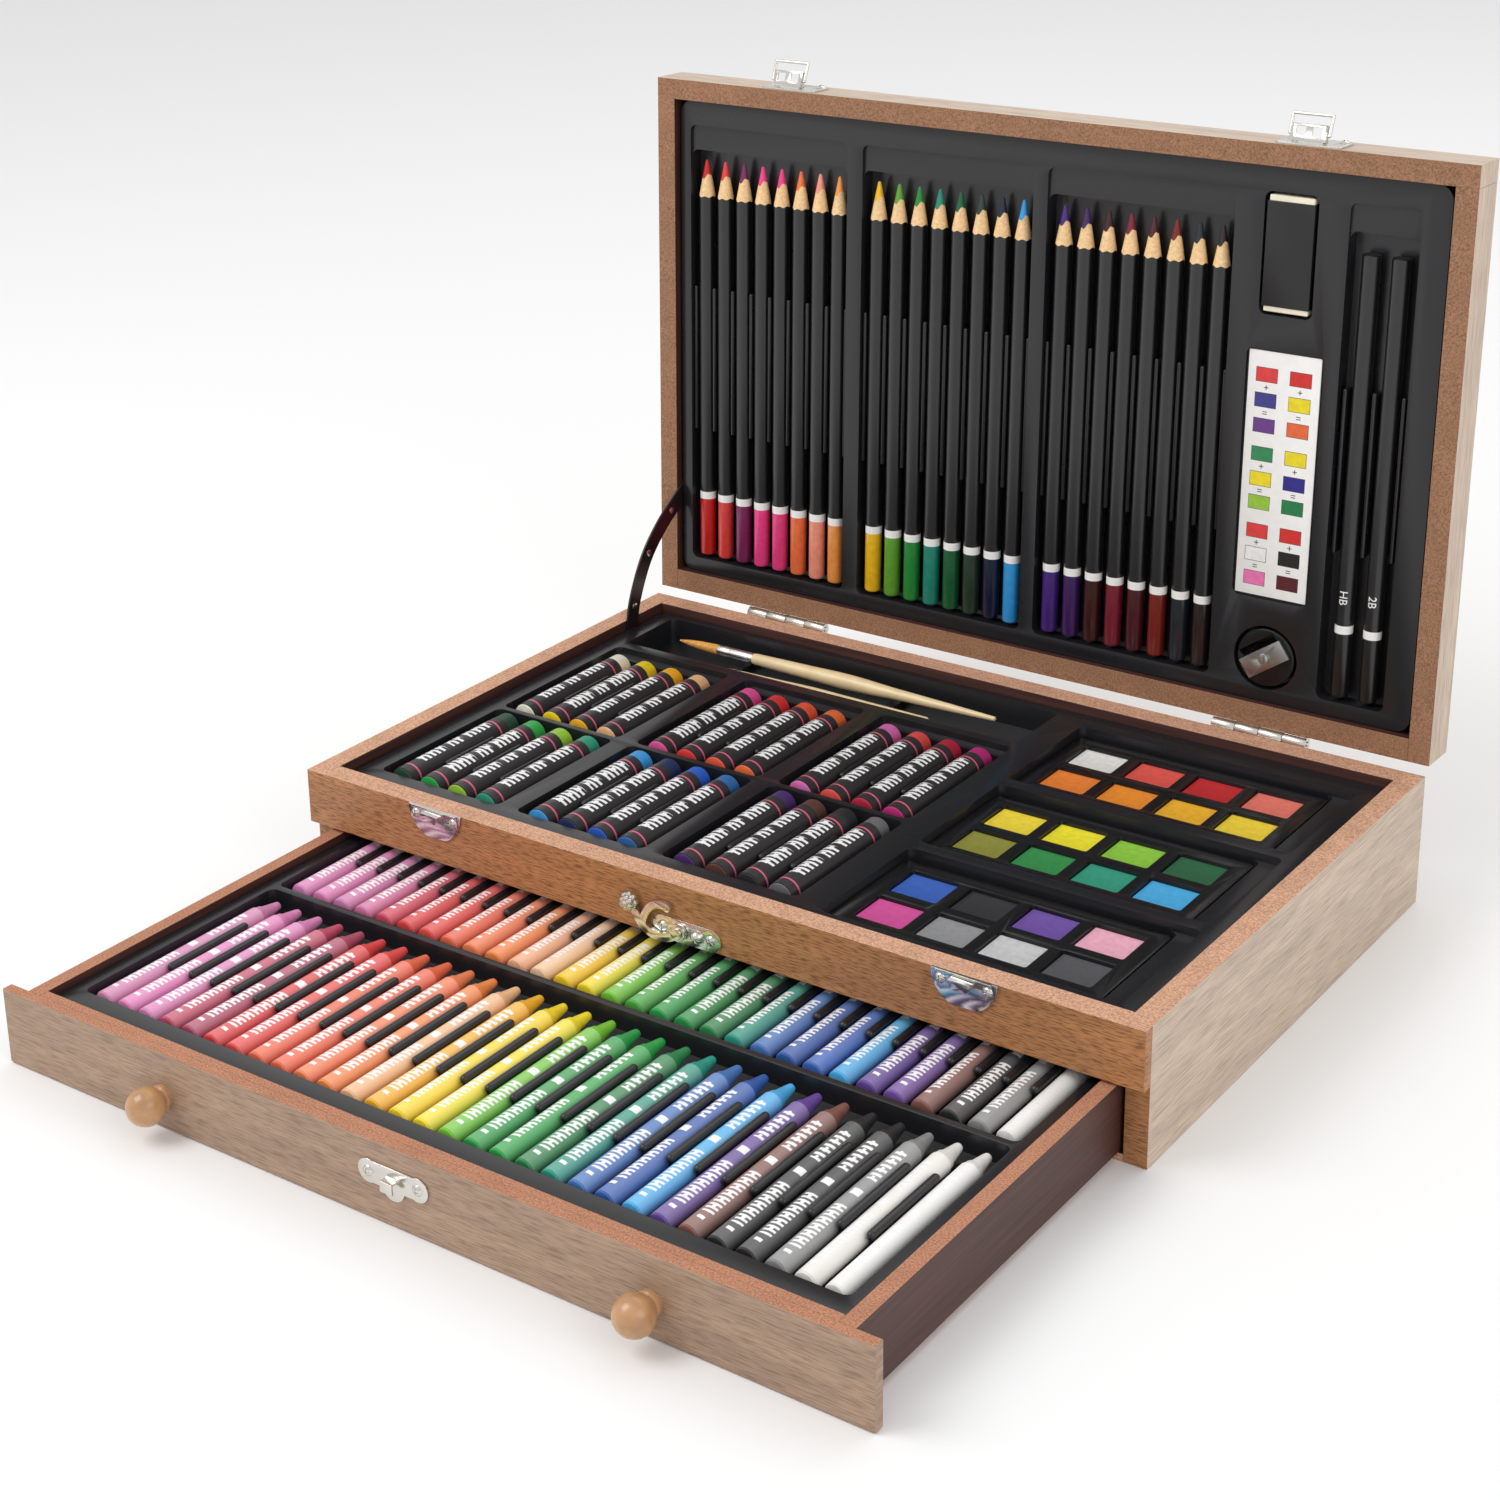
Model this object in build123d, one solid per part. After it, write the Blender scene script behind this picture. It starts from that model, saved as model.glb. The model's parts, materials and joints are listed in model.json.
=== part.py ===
"""Three-level art case: hinged lid with pencils, upper tray with pastels and paints, crayon drawer below.

Millimetres. Origin at the bottom centre of the carcass, X to the right, Y to the back, Z up.
The lid is drawn shut and then turned open; the drawer is drawn shut and then slid out.
"""
import os
from build123d import *

os.makedirs("parts", exist_ok=True)

# ---- carcass -------------------------------------------------------------------------------
case_width = 370.0
measured_width = 370.0
stretch = case_width / measured_width  # tray places and fittings keep their share of the width
case_depth = 235.0
case_height = 54.0
side_thickness = 9.0
back_thickness = 10.0
upper_front_thickness = 4.5
upper_front_height = 22.7
rail_thickness = 5.2
shelf_inset = 0.5
shelf_thickness = 2.5
bottom_thickness = 3.0

# ---- lid -----------------------------------------------------------------------------------
lid_height = 18.0
lid_gap = 0.6
lid_front_thickness = 8.8
lid_back_thickness = 9.6
lid_panel_thickness = 3.0
lid_open_angle = 91.6
hinge_offset = 2.6

# ---- drawer --------------------------------------------------------------------------------
drawer_travel = 160.5
drawer_front_reveal = 1.5
drawer_front_thickness = 4.2
drawer_front_bottom = 0.6
drawer_front_gap = 1.3
drawer_inner_front = 3.8
drawer_side_thickness = 6.0
drawer_side_gap = 1.5
drawer_back_thickness = 5.0
drawer_back_gap = 1.0
drawer_floor = 2.5
drawer_lift = 0.3

# ---- formed plastic trays -------------------------------------------------------------------
sheet = 1.0
tray_side_gap = 1.4
tray_end_gap = 0.4
tray_corner = 6.0
pocket_corner = 3.0
rib_gap = 0.45
upper_tray_drop = 4.0
lid_tray_drop = 3.0
drawer_tray_drop = 3.0

# ---- drawing materials ----------------------------------------------------------------------
soft_gap = 0.3
crayon_dia, crayon_length, crayons_per_row = 8.0, 90.0, 30
crayon_cone, crayon_tip_radius = 10.5, 1.7
crayon_rib_start, crayon_rib_end = 29.0, 66.0
pastel_dia, pastel_length, pastel_pitch, pastels_per_group = 11.5, 68.0, 14.3 * stretch, 4
pastel_rib_start, pastel_rib_end = 20.0, 48.0
pencil_dia, pencil_length, pencil_pitch, pencils_per_group = 7.2, 182.0, 9.9 * stretch, 8
pencil_cone, pencil_tip_radius = 16.0, 0.7
pencil_rib_start, pencil_rib_end = 80.0, 145.0
graphite_length, graphite_pitch = 178.0, 11.8 * stretch
cake_x, cake_y, cake_height = 20.0, 18.0, 5.0
cake_pitch_x, cake_pitch_y = 25.1 * stretch, 23.5
cake_columns, cake_rows = 4, 2

# ---- fittings -------------------------------------------------------------------------------
plate = 0.8
screw_head_dia, screw_head_height, screw_shank_dia, screw_length = 4.2, 1.1, 1.8, 6.0
screw_fit = 0.05
fitting_x = 117.5 * stretch
hinge_x = 114.5 * stretch
hinge_length = 41.0
hinge_knuckles = 4
knuckle_radius = 2.5
pin_radius = 1.1
running_gap = 0.05
knuckle_gap = 0.25
hinge_leaf_height = 13.0
knob_x, knob_z, knob_dia, knob_centre = 104.0 * stretch, 13.0, 14.0, 8.0
hook_x, hook_z = 2.0, case_height - 18.0
drawer_keeper_x, drawer_keeper_z = 2.0, 18.5

# ---- derived places -------------------------------------------------------------------------
front_y = -case_depth / 2
back_y = case_depth / 2
inner_x = case_width / 2 - side_thickness
inner_front_y = front_y + upper_front_thickness + rail_thickness
inner_back_y = back_y - back_thickness
upper_front_bottom = case_height - upper_front_height
shelf_bottom = upper_front_bottom + shelf_inset
shelf_top = shelf_bottom + shelf_thickness
drawer_front_top = upper_front_bottom - drawer_front_gap
drawer_front_width = case_width - 2 * drawer_front_reveal
pivot_y = back_y + hinge_offset
pivot_z = case_height + lid_gap / 2
lid_rim = case_height + lid_gap
lid_top = lid_rim + lid_height


def slab(x0, x1, y0, y1, z0, z1):
    return Pos((x0 + x1) / 2, (y0 + y1) / 2, (z0 + z1) / 2) * Box(x1 - x0, y1 - y0, z1 - z0)


def rod(x, y, z, radius, length, direction="y"):
    """Round bar that starts at the given point and runs along one axis."""
    turn = {"x": Rot(0, 90, 0), "y": Rot(-90, 0, 0), "z": Rot(0, 0, 0)}[direction]
    return Pos(x, y, z) * turn * Cylinder(radius, length, align=(Align.CENTER, Align.CENTER, Align.MIN))


def rounded(x0, x1, y0, y1, z0, z1, radius):
    """Upright block with rounded corners."""
    block = slab(x0, x1, y0, y1, z0, z1)
    radius = min(radius, (x1 - x0) / 2 - 0.1, (y1 - y0) / 2 - 0.1)
    return fillet(block.edges().filter_by(Axis.Z), radius)


def group(shapes):
    return Compound(children=list(shapes))


def opened(shape):
    """Turn a piece drawn on the shut lid to the open lid."""
    swing = Pos(0, pivot_y, pivot_z) * Rot(-lid_open_angle, 0, 0) * Pos(0, -pivot_y, -pivot_z)
    return swing * shape


def pulled(shape):
    """Slide a piece drawn in the shut drawer to the open drawer."""
    return Pos(0, -drawer_travel, 0) * shape


def save(node, shape):
    export_step(shape, f"parts/{node}.step")


# ---- screws ---------------------------------------------------------------------------------
def screw():
    """Round-head wood screw, head up, underside of the head at the origin."""
    ball = (screw_head_dia ** 2 / 4 + screw_head_height ** 2) / (2 * screw_head_height)
    dome = Pos(0, 0, screw_head_height - ball) * Sphere(ball)
    dome = dome & slab(-4, 4, -4, 4, 0, screw_head_height)
    slots = slab(-1.3, 1.3, -0.25, 0.25, 0.55, 2) + slab(-0.25, 0.25, -1.3, 1.3, 0.55, 2)
    shank = rod(0, 0, -screw_length, screw_shank_dia / 2, screw_length + 0.2, "z")
    return dome - slots + shank


def front_screws(places, face_y, stand_off=plate):
    return [Pos(x, face_y - stand_off, z) * Rot(90, 0, 0) * screw() for x, z in places]


def screw_bores(places, face_y, direction=1):
    """Pilot holes into a board from its face at face_y."""
    start = face_y - 3 if direction > 0 else face_y - screw_length
    return [rod(x, start, z, screw_shank_dia / 2 + screw_fit, screw_length + 3) for x, z in places]


def drill(shape, tools):
    for tool in tools:
        shape = shape - tool
    return shape


keeper_radius, keeper_height = 13.0, 12.0
keeper_z = case_height - keeper_height / 2
catch_bar_z, catch_bar_out = case_height - 2.7, 2.2
catch_half, catch_out = 4.4, 4.2
keeper_screws = [(side * fitting_x + dx, keeper_z + 2.6) for side in (-1, 1) for dx in (-9.2, 9.2)]
hook_screws = [(hook_x - 10.6, hook_z), (hook_x + 10.6, hook_z)]
drawer_keeper_screws = [(drawer_keeper_x - 10.5, drawer_keeper_z), (drawer_keeper_x + 10.5, drawer_keeper_z)]
latch_plate_bottom, latch_plate_top = lid_rim + 0.8, lid_rim + 13.8
latch_screws = [(side * fitting_x + dx, latch_plate_top - 2.9) for side in (-1, 1) for dx in (-10.6, 10.6)]
hinge_screw_dx = (-14.0, 0.0, 14.0)
hinge_case_z, hinge_lid_z = pivot_z - 9.5, pivot_z + 10.5
hinge_case_screws = [(s * hinge_x + dx, hinge_case_z) for s in (-1, 1) for dx in hinge_screw_dx]
hinge_lid_screws = [(s * hinge_x + dx, hinge_lid_z) for s in (-1, 1) for dx in hinge_screw_dx]

# ---- carcass boards -------------------------------------------------------------------------
board_front = front_y + upper_front_thickness
for name, side in (("side_board_left", -1), ("side_board_right", 1)):
    xs = sorted((side * inner_x, side * case_width / 2))
    save(name, slab(xs[0], xs[1], board_front, back_y, 0, case_height))

back_board = slab(-inner_x, inner_x, inner_back_y, back_y, 0, case_height)
save("back_board", drill(back_board, screw_bores(hinge_case_screws, back_y, -1)))

front_bores = screw_bores(keeper_screws + hook_screws, front_y)
upper_front = slab(-case_width / 2, case_width / 2, front_y, board_front, upper_front_bottom, case_height)
hook_bore = rod(hook_x - 3.0, front_y - 3, hook_z, 1.3 + screw_fit, 3 + 4.0)
save("upper_front_panel", drill(upper_front, front_bores + [hook_bore]))
rail = slab(-inner_x, inner_x, board_front, inner_front_y, upper_front_bottom, case_height)
save("upper_front_rail", drill(rail, front_bores))
save("shelf_panel", slab(-inner_x, inner_x, inner_front_y, inner_back_y, shelf_bottom, shelf_top))
save("bottom_panel", slab(-inner_x, inner_x, board_front, inner_back_y, 0, bottom_thickness))


# ---- formed trays ---------------------------------------------------------------------------
def tray(x0, x1, y0, y1, floor, top, pockets, extras=()):
    """Formed sheet tray, open side up: flange, outer skirt and one cup for every pocket.

    A pocket is (x0, x1, y0, y1, inner floor height). Deeper pockets may lie inside shallow ones.
    """
    skin = rounded(x0, x1, y0, y1, floor, top, tray_corner)
    skin = skin - rounded(x0 + sheet, x1 - sheet, y0 + sheet, y1 - sheet, floor - 1, top - sheet,
                          tray_corner - sheet)
    for a, b, c, d, base in pockets:
        cup = rounded(a - sheet, b + sheet, c - sheet, d + sheet, base - sheet, top, pocket_corner + sheet)
        skin = skin + cup
    for a, b, c, d, base in pockets:
        skin = skin - rounded(a, b, c, d, base, top + 5, pocket_corner)
    return skin.fuse(*extras) if extras else skin


def pill_rib(x, y0, y1, floor, stick_z, stick_dia, pitch, rise):
    """Formed rib between two sticks: a web, and a round bulb whose axis is rise above theirs."""
    web = (pitch - stick_dia) / 2 - rib_gap
    bulb_z = stick_z + rise
    radius = ((pitch / 2) ** 2 + rise ** 2) ** 0.5 - stick_dia / 2 - rib_gap
    rib = slab(x - web, x + web, y0, y1, floor - sheet / 2, bulb_z)
    bulb = rod(x, y0, bulb_z, radius, y1 - y0) + Pos(x, y0, bulb_z) * Sphere(radius)
    return rib + (bulb + Pos(x, y1, bulb_z) * Sphere(radius))


def ribs_between(axes, *shape):
    """Ribs that stand between neighbouring sticks."""
    return [pill_rib((a + b) / 2, *shape) for a, b in zip(axes, axes[1:])]


def spaced(first, pitch, count):
    return [first + pitch * i for i in range(count)]


# ---- upper tray -----------------------------------------------------------------------------
upper_top = case_height - upper_tray_drop
pastel_z = upper_top - 4.0
pastel_floor = pastel_z - pastel_dia / 2 - soft_gap
pastel_shelf, pastel_shelf_depth = upper_top - 3.0, 5.5
pastel_pockets_x = [(a * stretch, b * stretch) for a, b in ((-166.3, -105.5), (-96.6, -35.6), (-27.0, 34.0))]
pastel_rows = {"front": (-95.0, -20.8), "back": (-18.0, 57.0)}
pastel_starts = {"front": -92.5, "back": -15.0}
pastel_axes = [
    spaced((a + b) / 2 - pastel_pitch * 1.5, pastel_pitch, pastels_per_group) for a, b in pastel_pockets_x
]

paint_x0, paint_x1, paint_shelf_x = 47.0 * stretch, 157.5 * stretch, 166.5 * stretch
paint_blocks = [(35.0, 96.0), (-32.0, 29.0), (-99.0, -38.0)]
paint_floor = upper_top - 12.0
paint_shelf = upper_top - 3.5
brush_trough = (-166.0 * stretch, 33.0 * stretch, 68.0, 103.0, upper_top - 11.0)

pockets = []
for a, b in pastel_pockets_x:
    y0, y1 = pastel_rows["back"]
    pockets += [(a, b, y0, y1 + pastel_shelf_depth, pastel_shelf), (a, b, y0, y1, pastel_floor)]
    y0, y1 = pastel_rows["front"]
    pockets.append((a, b, y0, y1, pastel_floor))
pockets.append(brush_trough)
for y0, y1 in paint_blocks:
    pockets += [(paint_x0, paint_shelf_x, y0, y1, paint_shelf), (paint_x0, paint_x1, y0, y1, paint_floor)]
brush_rest_x = (-118.0 * stretch, -40.0 * stretch)
brush_rest_top = upper_top - 8.2
rests = [
    slab(x - 2.0, x + 2.0, brush_trough[2] - 0.5, brush_trough[3] + 0.5, brush_trough[4] - 0.5, brush_rest_top)
    for x in brush_rest_x
]
pastel_ribs = [
    rib
    for start in pastel_starts.values()
    for axes in pastel_axes
    for rib in ribs_between(axes, start + pastel_rib_start, start + pastel_rib_end, pastel_floor,
                            pastel_z, pastel_dia, pastel_pitch, 2.2)
]
tray_x = inner_x - tray_side_gap
save("upper_tray", tray(-tray_x, tray_x, inner_front_y + tray_end_gap, inner_back_y - tray_end_gap,
                        shelf_top, upper_top, pockets, rests + pastel_ribs))


def pastel():
    """Round wrapped stick along +Y, flat ends with a small chamfer."""
    stick = rod(0, 0, 0, pastel_dia / 2, pastel_length)
    return chamfer(stick.edges().filter_by(GeomType.CIRCLE), 0.8)


for row in ("front", "back"):
    sticks = [Pos(x, pastel_starts[row], pastel_z) * pastel() for axes in pastel_axes for x in axes]
    save(f"oil_pastels_{row}_row", group(sticks))

# Paint palettes stand in the three pockets, four by two cells each.
palette_gap, palette_half_depth = 0.8, 27.0
palette_top = upper_top - 3.6
cell_floor = palette_top - cake_height - 1.0
palettes, cakes = [], []
for y0, y1 in paint_blocks:
    cx, cy = (paint_x0 + paint_x1) / 2, (y0 + y1) / 2
    body = rounded(paint_x0 + palette_gap, paint_x1 - palette_gap, cy - palette_half_depth, cy + palette_half_depth,
                   paint_floor, palette_top, 2.0)
    for i in range(cake_columns):
        for j in range(cake_rows):
            x = cx + (i - (cake_columns - 1) / 2) * cake_pitch_x
            y = cy + (j - (cake_rows - 1) / 2) * cake_pitch_y
            hx, hy = cake_x / 2 + soft_gap, cake_y / 2 + soft_gap
            body = body - rounded(x - hx, x + hx, y - hy, y + hy, cell_floor, palette_top + 1, 1.2)
            cake = slab(x - cake_x / 2, x + cake_x / 2, y - cake_y / 2, y + cake_y / 2,
                        cell_floor, cell_floor + cake_height)
            cakes.append(fillet(cake.edges().filter_by(Axis.Z), 1.0))
    palettes.append(body)
save("paint_palettes", group(palettes))
save("paint_cakes", group(cakes))


# ---- brushes --------------------------------------------------------------------------------
def turned(profile):
    """Body of revolution about +X through the origin from (length, radius) pairs."""
    points = [(profile[0][0], 0)] + list(profile) + [(profile[-1][0], 0)]
    outline = Polyline(*[(x, y, 0) for x, y in points], close=True)
    return revolve(make_face(outline), Axis.X, 360)


large_brush = turned([(0, 0.8), (10, 2.4), (22, 2.8), (24, 3.0), (40, 3.0), (46, 3.6), (62, 3.5), (110, 2.5),
                      (163, 1.4)])
small_brush = turned([(0, 0.3), (6, 1.0), (14, 1.2), (15, 1.4), (28, 1.4), (34, 2.0), (60, 1.9), (126, 1.0)])
large_brush_y, small_brush_y = 92.0, 77.0
large_brush_x, small_brush_x, small_brush_turn = -154.0 * stretch, -142.0 * stretch, 1.2
save("brush_large", Pos(large_brush_x, large_brush_y, brush_rest_top + 3.7) * large_brush)
small_brush = Rot(0, 0, small_brush_turn) * small_brush
save("brush_small", Pos(small_brush_x, small_brush_y, brush_rest_top + 2.1) * small_brush)

# ---- front fittings -------------------------------------------------------------------------


def facing(sketch, face_y, thickness):
    """Flat plate lying on a front face, drawn as an X-Z sketch."""
    return Pos(0, face_y, 0) * Rot(90, 0, 0) * extrude(sketch, thickness)


def half_moon(x):
    """Keeper for a lid latch: half-moon plate, folded top lip and a raised catch in the middle."""
    disc = Pos(x, case_height) * Circle(keeper_radius)
    outline = disc & (Pos(x, keeper_z) * Rectangle(2 * keeper_radius, keeper_height))
    keeper = facing(outline, front_y, plate)
    lip = slab(x - 11.0, x + 11.0, front_y - 1.5, front_y - plate / 2, case_height - plate, case_height)
    catch = slab(x - catch_half, x + catch_half, front_y - catch_out, front_y - plate / 2,
                 catch_bar_z + 0.9, catch_bar_z + 1.7)
    shield = Pos(x, catch_bar_z + 1.7) * Circle(catch_half) & Pos(x, catch_bar_z) * Rectangle(10.0, 3.4)
    shield = facing(shield, front_y - catch_out + plate, plate)
    keeper = keeper + lip + catch + shield
    bores = [rod(x + dx, front_y - 3, keeper_z + 2.6, screw_shank_dia / 2 + 0.1, 5) for dx in (-9.2, 9.2)]
    return drill(keeper, bores)


save("catch_plates", group([half_moon(side * fitting_x) for side in (-1, 1)]))

hook_pivot_x = hook_x - 3.0
rivet_radius = 1.3
bone = Pos(hook_x, hook_z) * SlotOverall(27.0, 9.0)
bone = bone + Pos(hook_x - 10.5, hook_z) * Circle(4.6) + Pos(hook_x + 10.5, hook_z) * Circle(4.6)
hook_plate = facing(bone, front_y, plate)
dome = Pos(hook_x + 4.8, front_y - plate, hook_z) * Sphere(2.6)
dome = dome & slab(hook_x, hook_x + 9, front_y - 5, front_y - plate + 0.2, hook_z - 4, hook_z + 4)
hook_plate = hook_plate + dome
hook_plate = drill(hook_plate, [rod(hook_pivot_x, front_y - 3, hook_z, rivet_radius + screw_fit, 5)]
                   + [rod(x, front_y - 3, z, screw_shank_dia / 2 + 0.1, 5) for x, z in hook_screws])
save("hook_plate", hook_plate)

hook_back = front_y - plate - 0.15
hook_thickness = 1.7
rivet = rod(hook_pivot_x, hook_back - hook_thickness - 0.15, hook_z, rivet_radius,
            hook_thickness + 0.3 + plate + 3.5)
rivet = rivet + rod(hook_pivot_x, hook_back - hook_thickness - 0.15 - 0.9, hook_z, 2.3, 0.9)
save("hook_rivet", rivet)

# The swing hook: eye, curved arm up to a ball thumb piece, and a prong above the plate.
arm_path = [(0.0, 0.0), (-7.0, -3.6), (-14.0, -2.4), (-18.5, 2.2), (-20.5, 6.0)]
prong_path = [(-15.6, 0.2), (-13.6, 5.2), (-10.0, 8.6), (-4.5, 8.6)]


def strip(path, width):
    """Flat strip of the given width along a smooth path, with round ends."""
    line = Spline(*[(x, z) for x, z in path])
    face = trace(line, width)
    return face + Pos(*path[0]) * Circle(width / 2) + Pos(*path[-1]) * Circle(width / 2)


hook_outline = Circle(3.4) + strip(arm_path, 3.4) + strip(prong_path, 3.0)
hook_flat = Pos(hook_pivot_x, 0, hook_z) * facing(hook_outline, hook_back, hook_thickness)
ball = Pos(hook_pivot_x + arm_path[-1][0] - 1.0, hook_back - 2.4, hook_z + arm_path[-1][1] + 1.4) * Sphere(2.8)
hook = hook_flat + ball
hook = hook - rod(hook_pivot_x, front_y - 9, hook_z, rivet_radius + running_gap, 12)
save("hook", hook)
save("case_front_screws", group(front_screws(keeper_screws + hook_screws, front_y)))


# ---- hinges ---------------------------------------------------------------------------------
def leaf(x, upper):
    """One hinge leaf of a shut hinge with its own knuckles; upper is the lid leaf."""
    step = hinge_length / hinge_knuckles
    flat_start = knuckle_radius + 0.3
    if upper:
        body = slab(x - hinge_length / 2, x + hinge_length / 2, back_y, back_y + plate,
                    pivot_z + flat_start, pivot_z + flat_start + hinge_leaf_height)
    else:
        body = slab(x - hinge_length / 2, x + hinge_length / 2, back_y, back_y + plate,
                    pivot_z - flat_start - hinge_leaf_height, pivot_z - flat_start)
    for i in range(1 if upper else 0, hinge_knuckles, 2):
        a = x - hinge_length / 2 + i * step + knuckle_gap / 2
        b = a + step - knuckle_gap
        body = body + rod(a, pivot_y, pivot_z, knuckle_radius, b - a, "x")
        zs = sorted((pivot_z, pivot_z + (flat_start + 0.5 if upper else -flat_start - 0.5)))
        body = body + slab(a, b, back_y + 0.05, back_y + plate, zs[0], zs[1])
    body = body - rod(x - hinge_length, pivot_y, pivot_z, pin_radius + running_gap, 2 * hinge_length, "x")
    z = hinge_lid_z if upper else hinge_case_z
    return drill(body, [rod(x + dx, back_y - 2, z, screw_shank_dia / 2 + 0.1, 5) for dx in hinge_screw_dx])


def back_screws(places):
    return [Pos(x, back_y + plate, z) * Rot(-90, 0, 0) * screw() for x, z in places]


save("hinge_leaves_case", group([leaf(s * hinge_x, False) for s in (-1, 1)]))
save("hinge_leaves_lid", opened(group([leaf(s * hinge_x, True) for s in (-1, 1)])))
pins = [
    rod(s * hinge_x - hinge_length / 2 - 0.4, pivot_y, pivot_z, pin_radius, hinge_length + 0.8, "x")
    for s in (-1, 1)
]
save("hinge_pins", group(pins))
save("hinge_screws_case", group(back_screws(hinge_case_screws)))
save("hinge_screws_lid", opened(group(back_screws(hinge_lid_screws))))

# ---- stay strap -----------------------------------------------------------------------------
# A flat band between the left boards and the trays, arched while the lid stands open. Its places are
# measured from the hinge axis.
strap_width, strap_thickness = 8.0, 0.9
strap_path = [(-35.6, -16.3), (-35.6, -4.3), (-33.1, 7.7), (-24.1, 24.7), (-11.6, 37.2), (3.4, 47.2), (8.9, 50.7)]
strap_rivets_at = [(-33.8, 5.2), (-22.1, 27.2), (-4.1, 42.3)]
strap_x = -inner_x + 0.2
band = trace(Spline(*[(pivot_y + y, pivot_z + z) for y, z in strap_path]), strap_width)
band = Plane.YZ.offset(strap_x) * extrude(band, strap_thickness)
rivets = [
    rod(strap_x - 0.05, pivot_y + y, pivot_z + z, 1.6, strap_thickness + 0.45, "x") for y, z in strap_rivets_at
]
strap = band
for piece in rivets:
    strap = strap + piece
save("stay_strap", strap)

# ---- lid boards, drawn shut -----------------------------------------------------------------
lid_inner_front = front_y + lid_front_thickness
lid_inner_back = back_y - lid_back_thickness
lid_front = slab(-case_width / 2, case_width / 2, front_y, lid_inner_front, lid_rim, lid_top)
save("lid_front_board", opened(drill(lid_front, screw_bores(latch_screws, front_y))))
lid_back = slab(-inner_x, inner_x, lid_inner_back, back_y, lid_rim, lid_top)
save("lid_back_board", opened(drill(lid_back, screw_bores(hinge_lid_screws, back_y, -1))))
for name, side in (("lid_side_left", -1), ("lid_side_right", 1)):
    xs = sorted((side * inner_x, side * case_width / 2))
    save(name, opened(slab(xs[0], xs[1], lid_inner_front, back_y, lid_rim, lid_top)))
panel_bottom = lid_top - lid_panel_thickness
save("lid_panel", opened(slab(-inner_x, inner_x, lid_inner_front, lid_inner_back, panel_bottom, lid_top)))

# ---- lid tray: places are given as height up the open lid -----------------------------------
lid_flange = lid_rim + lid_tray_drop
pencil_depth = lid_rim + 7.0
pencil_floor = pencil_depth + pencil_dia / 2 + soft_gap
pocket_v0, pocket_v1, shelf_v1 = 19.0, 207.0, 218.0
pencil_v0 = 20.5
pencil_pockets = [(a * stretch, b * stretch) for a, b in ((-169.5, -88.0), (-80.5, 1.0), (7.5, 89.0))]
graphite_pocket = (135.5 * stretch, 163.5 * stretch)
pencil_rib_half, pencil_rib_rise = (pencil_pitch - pencil_dia) / 2 - rib_gap, 2.6
pencil_axes = [spaced((a + b) / 2 - pencil_pitch * 3.5, pencil_pitch, pencils_per_group) for a, b in pencil_pockets]
graphite_axes = spaced(sum(graphite_pocket) / 2 - graphite_pitch / 2, graphite_pitch, 2)
rib_places = []
for axes, pitch in [(axes, pencil_pitch) for axes in pencil_axes] + [(graphite_axes, graphite_pitch)]:
    rib_places += spaced(axes[0] - pitch / 2, pitch, len(axes) + 1)
eraser = (102.3 * stretch, 121.7 * stretch, 172.0, 217.5)
card = (98.2 * stretch, 128.2 * stretch, 56.5, 156.2)
sharpener_x, sharpener_v, sharpener_radius = 113.2 * stretch, 31.0, 12.0


def up_lid(v):
    """Y of the shut lid for a height up the open lid."""
    return pivot_y - v


def lid_slab(x0, x1, v0, v1, z0, z1):
    return slab(x0, x1, up_lid(v1), up_lid(v0), z0, z1)


def lid_tray():
    """Formed tray with its open side down, as it lies in the shut lid."""
    y0, y1 = lid_inner_front + tray_end_gap, lid_inner_back - tray_end_gap
    skin = rounded(-tray_x, tray_x, y0, y1, lid_flange, panel_bottom, tray_corner)
    skin = skin - rounded(-tray_x + sheet, tray_x - sheet, y0 + sheet, y1 - sheet,
                          lid_flange + sheet, panel_bottom + 1, tray_corner - sheet)
    cups = []
    for a, b in pencil_pockets + [graphite_pocket]:
        cups += [(a, b, pocket_v0, shelf_v1, lid_flange + 1.6), (a, b, pocket_v0, pocket_v1, pencil_floor)]
    cups.append((eraser[0] - 1.3, eraser[1] + 1.3, eraser[2] - 1.3, eraser[3] + 1.3, panel_bottom - sheet - 0.2))
    cups.append((card[0] - 1.0, card[1] + 1.0, card[2] - 1.0, card[3] + 1.0, lid_flange + 1.4))
    for a, b, v0, v1, base in cups:
        skin = skin + rounded(a - sheet, b + sheet, up_lid(v1) - sheet, up_lid(v0) + sheet,
                              lid_flange, base + sheet, pocket_corner + sheet)
    bowl_y = up_lid(sharpener_v)
    skin = skin + rod(sharpener_x, bowl_y, lid_flange, sharpener_radius + 1.5 + sheet, 10.5, "z")
    for a, b, v0, v1, base in cups:
        skin = skin - rounded(a, b, up_lid(v1), up_lid(v0), lid_flange - 5, base, pocket_corner)
    skin = skin - rod(sharpener_x, bowl_y, lid_flange - 5, sharpener_radius + 1.5, 14.5, "z")
    return skin.fuse(*[pencil_rib(x) for x in rib_places])


def pencil_rib(x):
    """Rib beside a pencil with a round crest and a round upper end."""
    crest = pencil_depth - pencil_rib_rise + pencil_rib_half
    rib = lid_slab(x - pencil_rib_half, x + pencil_rib_half, pencil_rib_start, pencil_rib_end,
                   crest, pencil_floor + sheet / 2)
    bar = rod(x, up_lid(pencil_rib_end), crest, pencil_rib_half, pencil_rib_end - pencil_rib_start)
    return rib + bar + Pos(x, up_lid(pencil_rib_end), crest) * Sphere(pencil_rib_half)


save("lid_tray", opened(lid_tray()))


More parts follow.
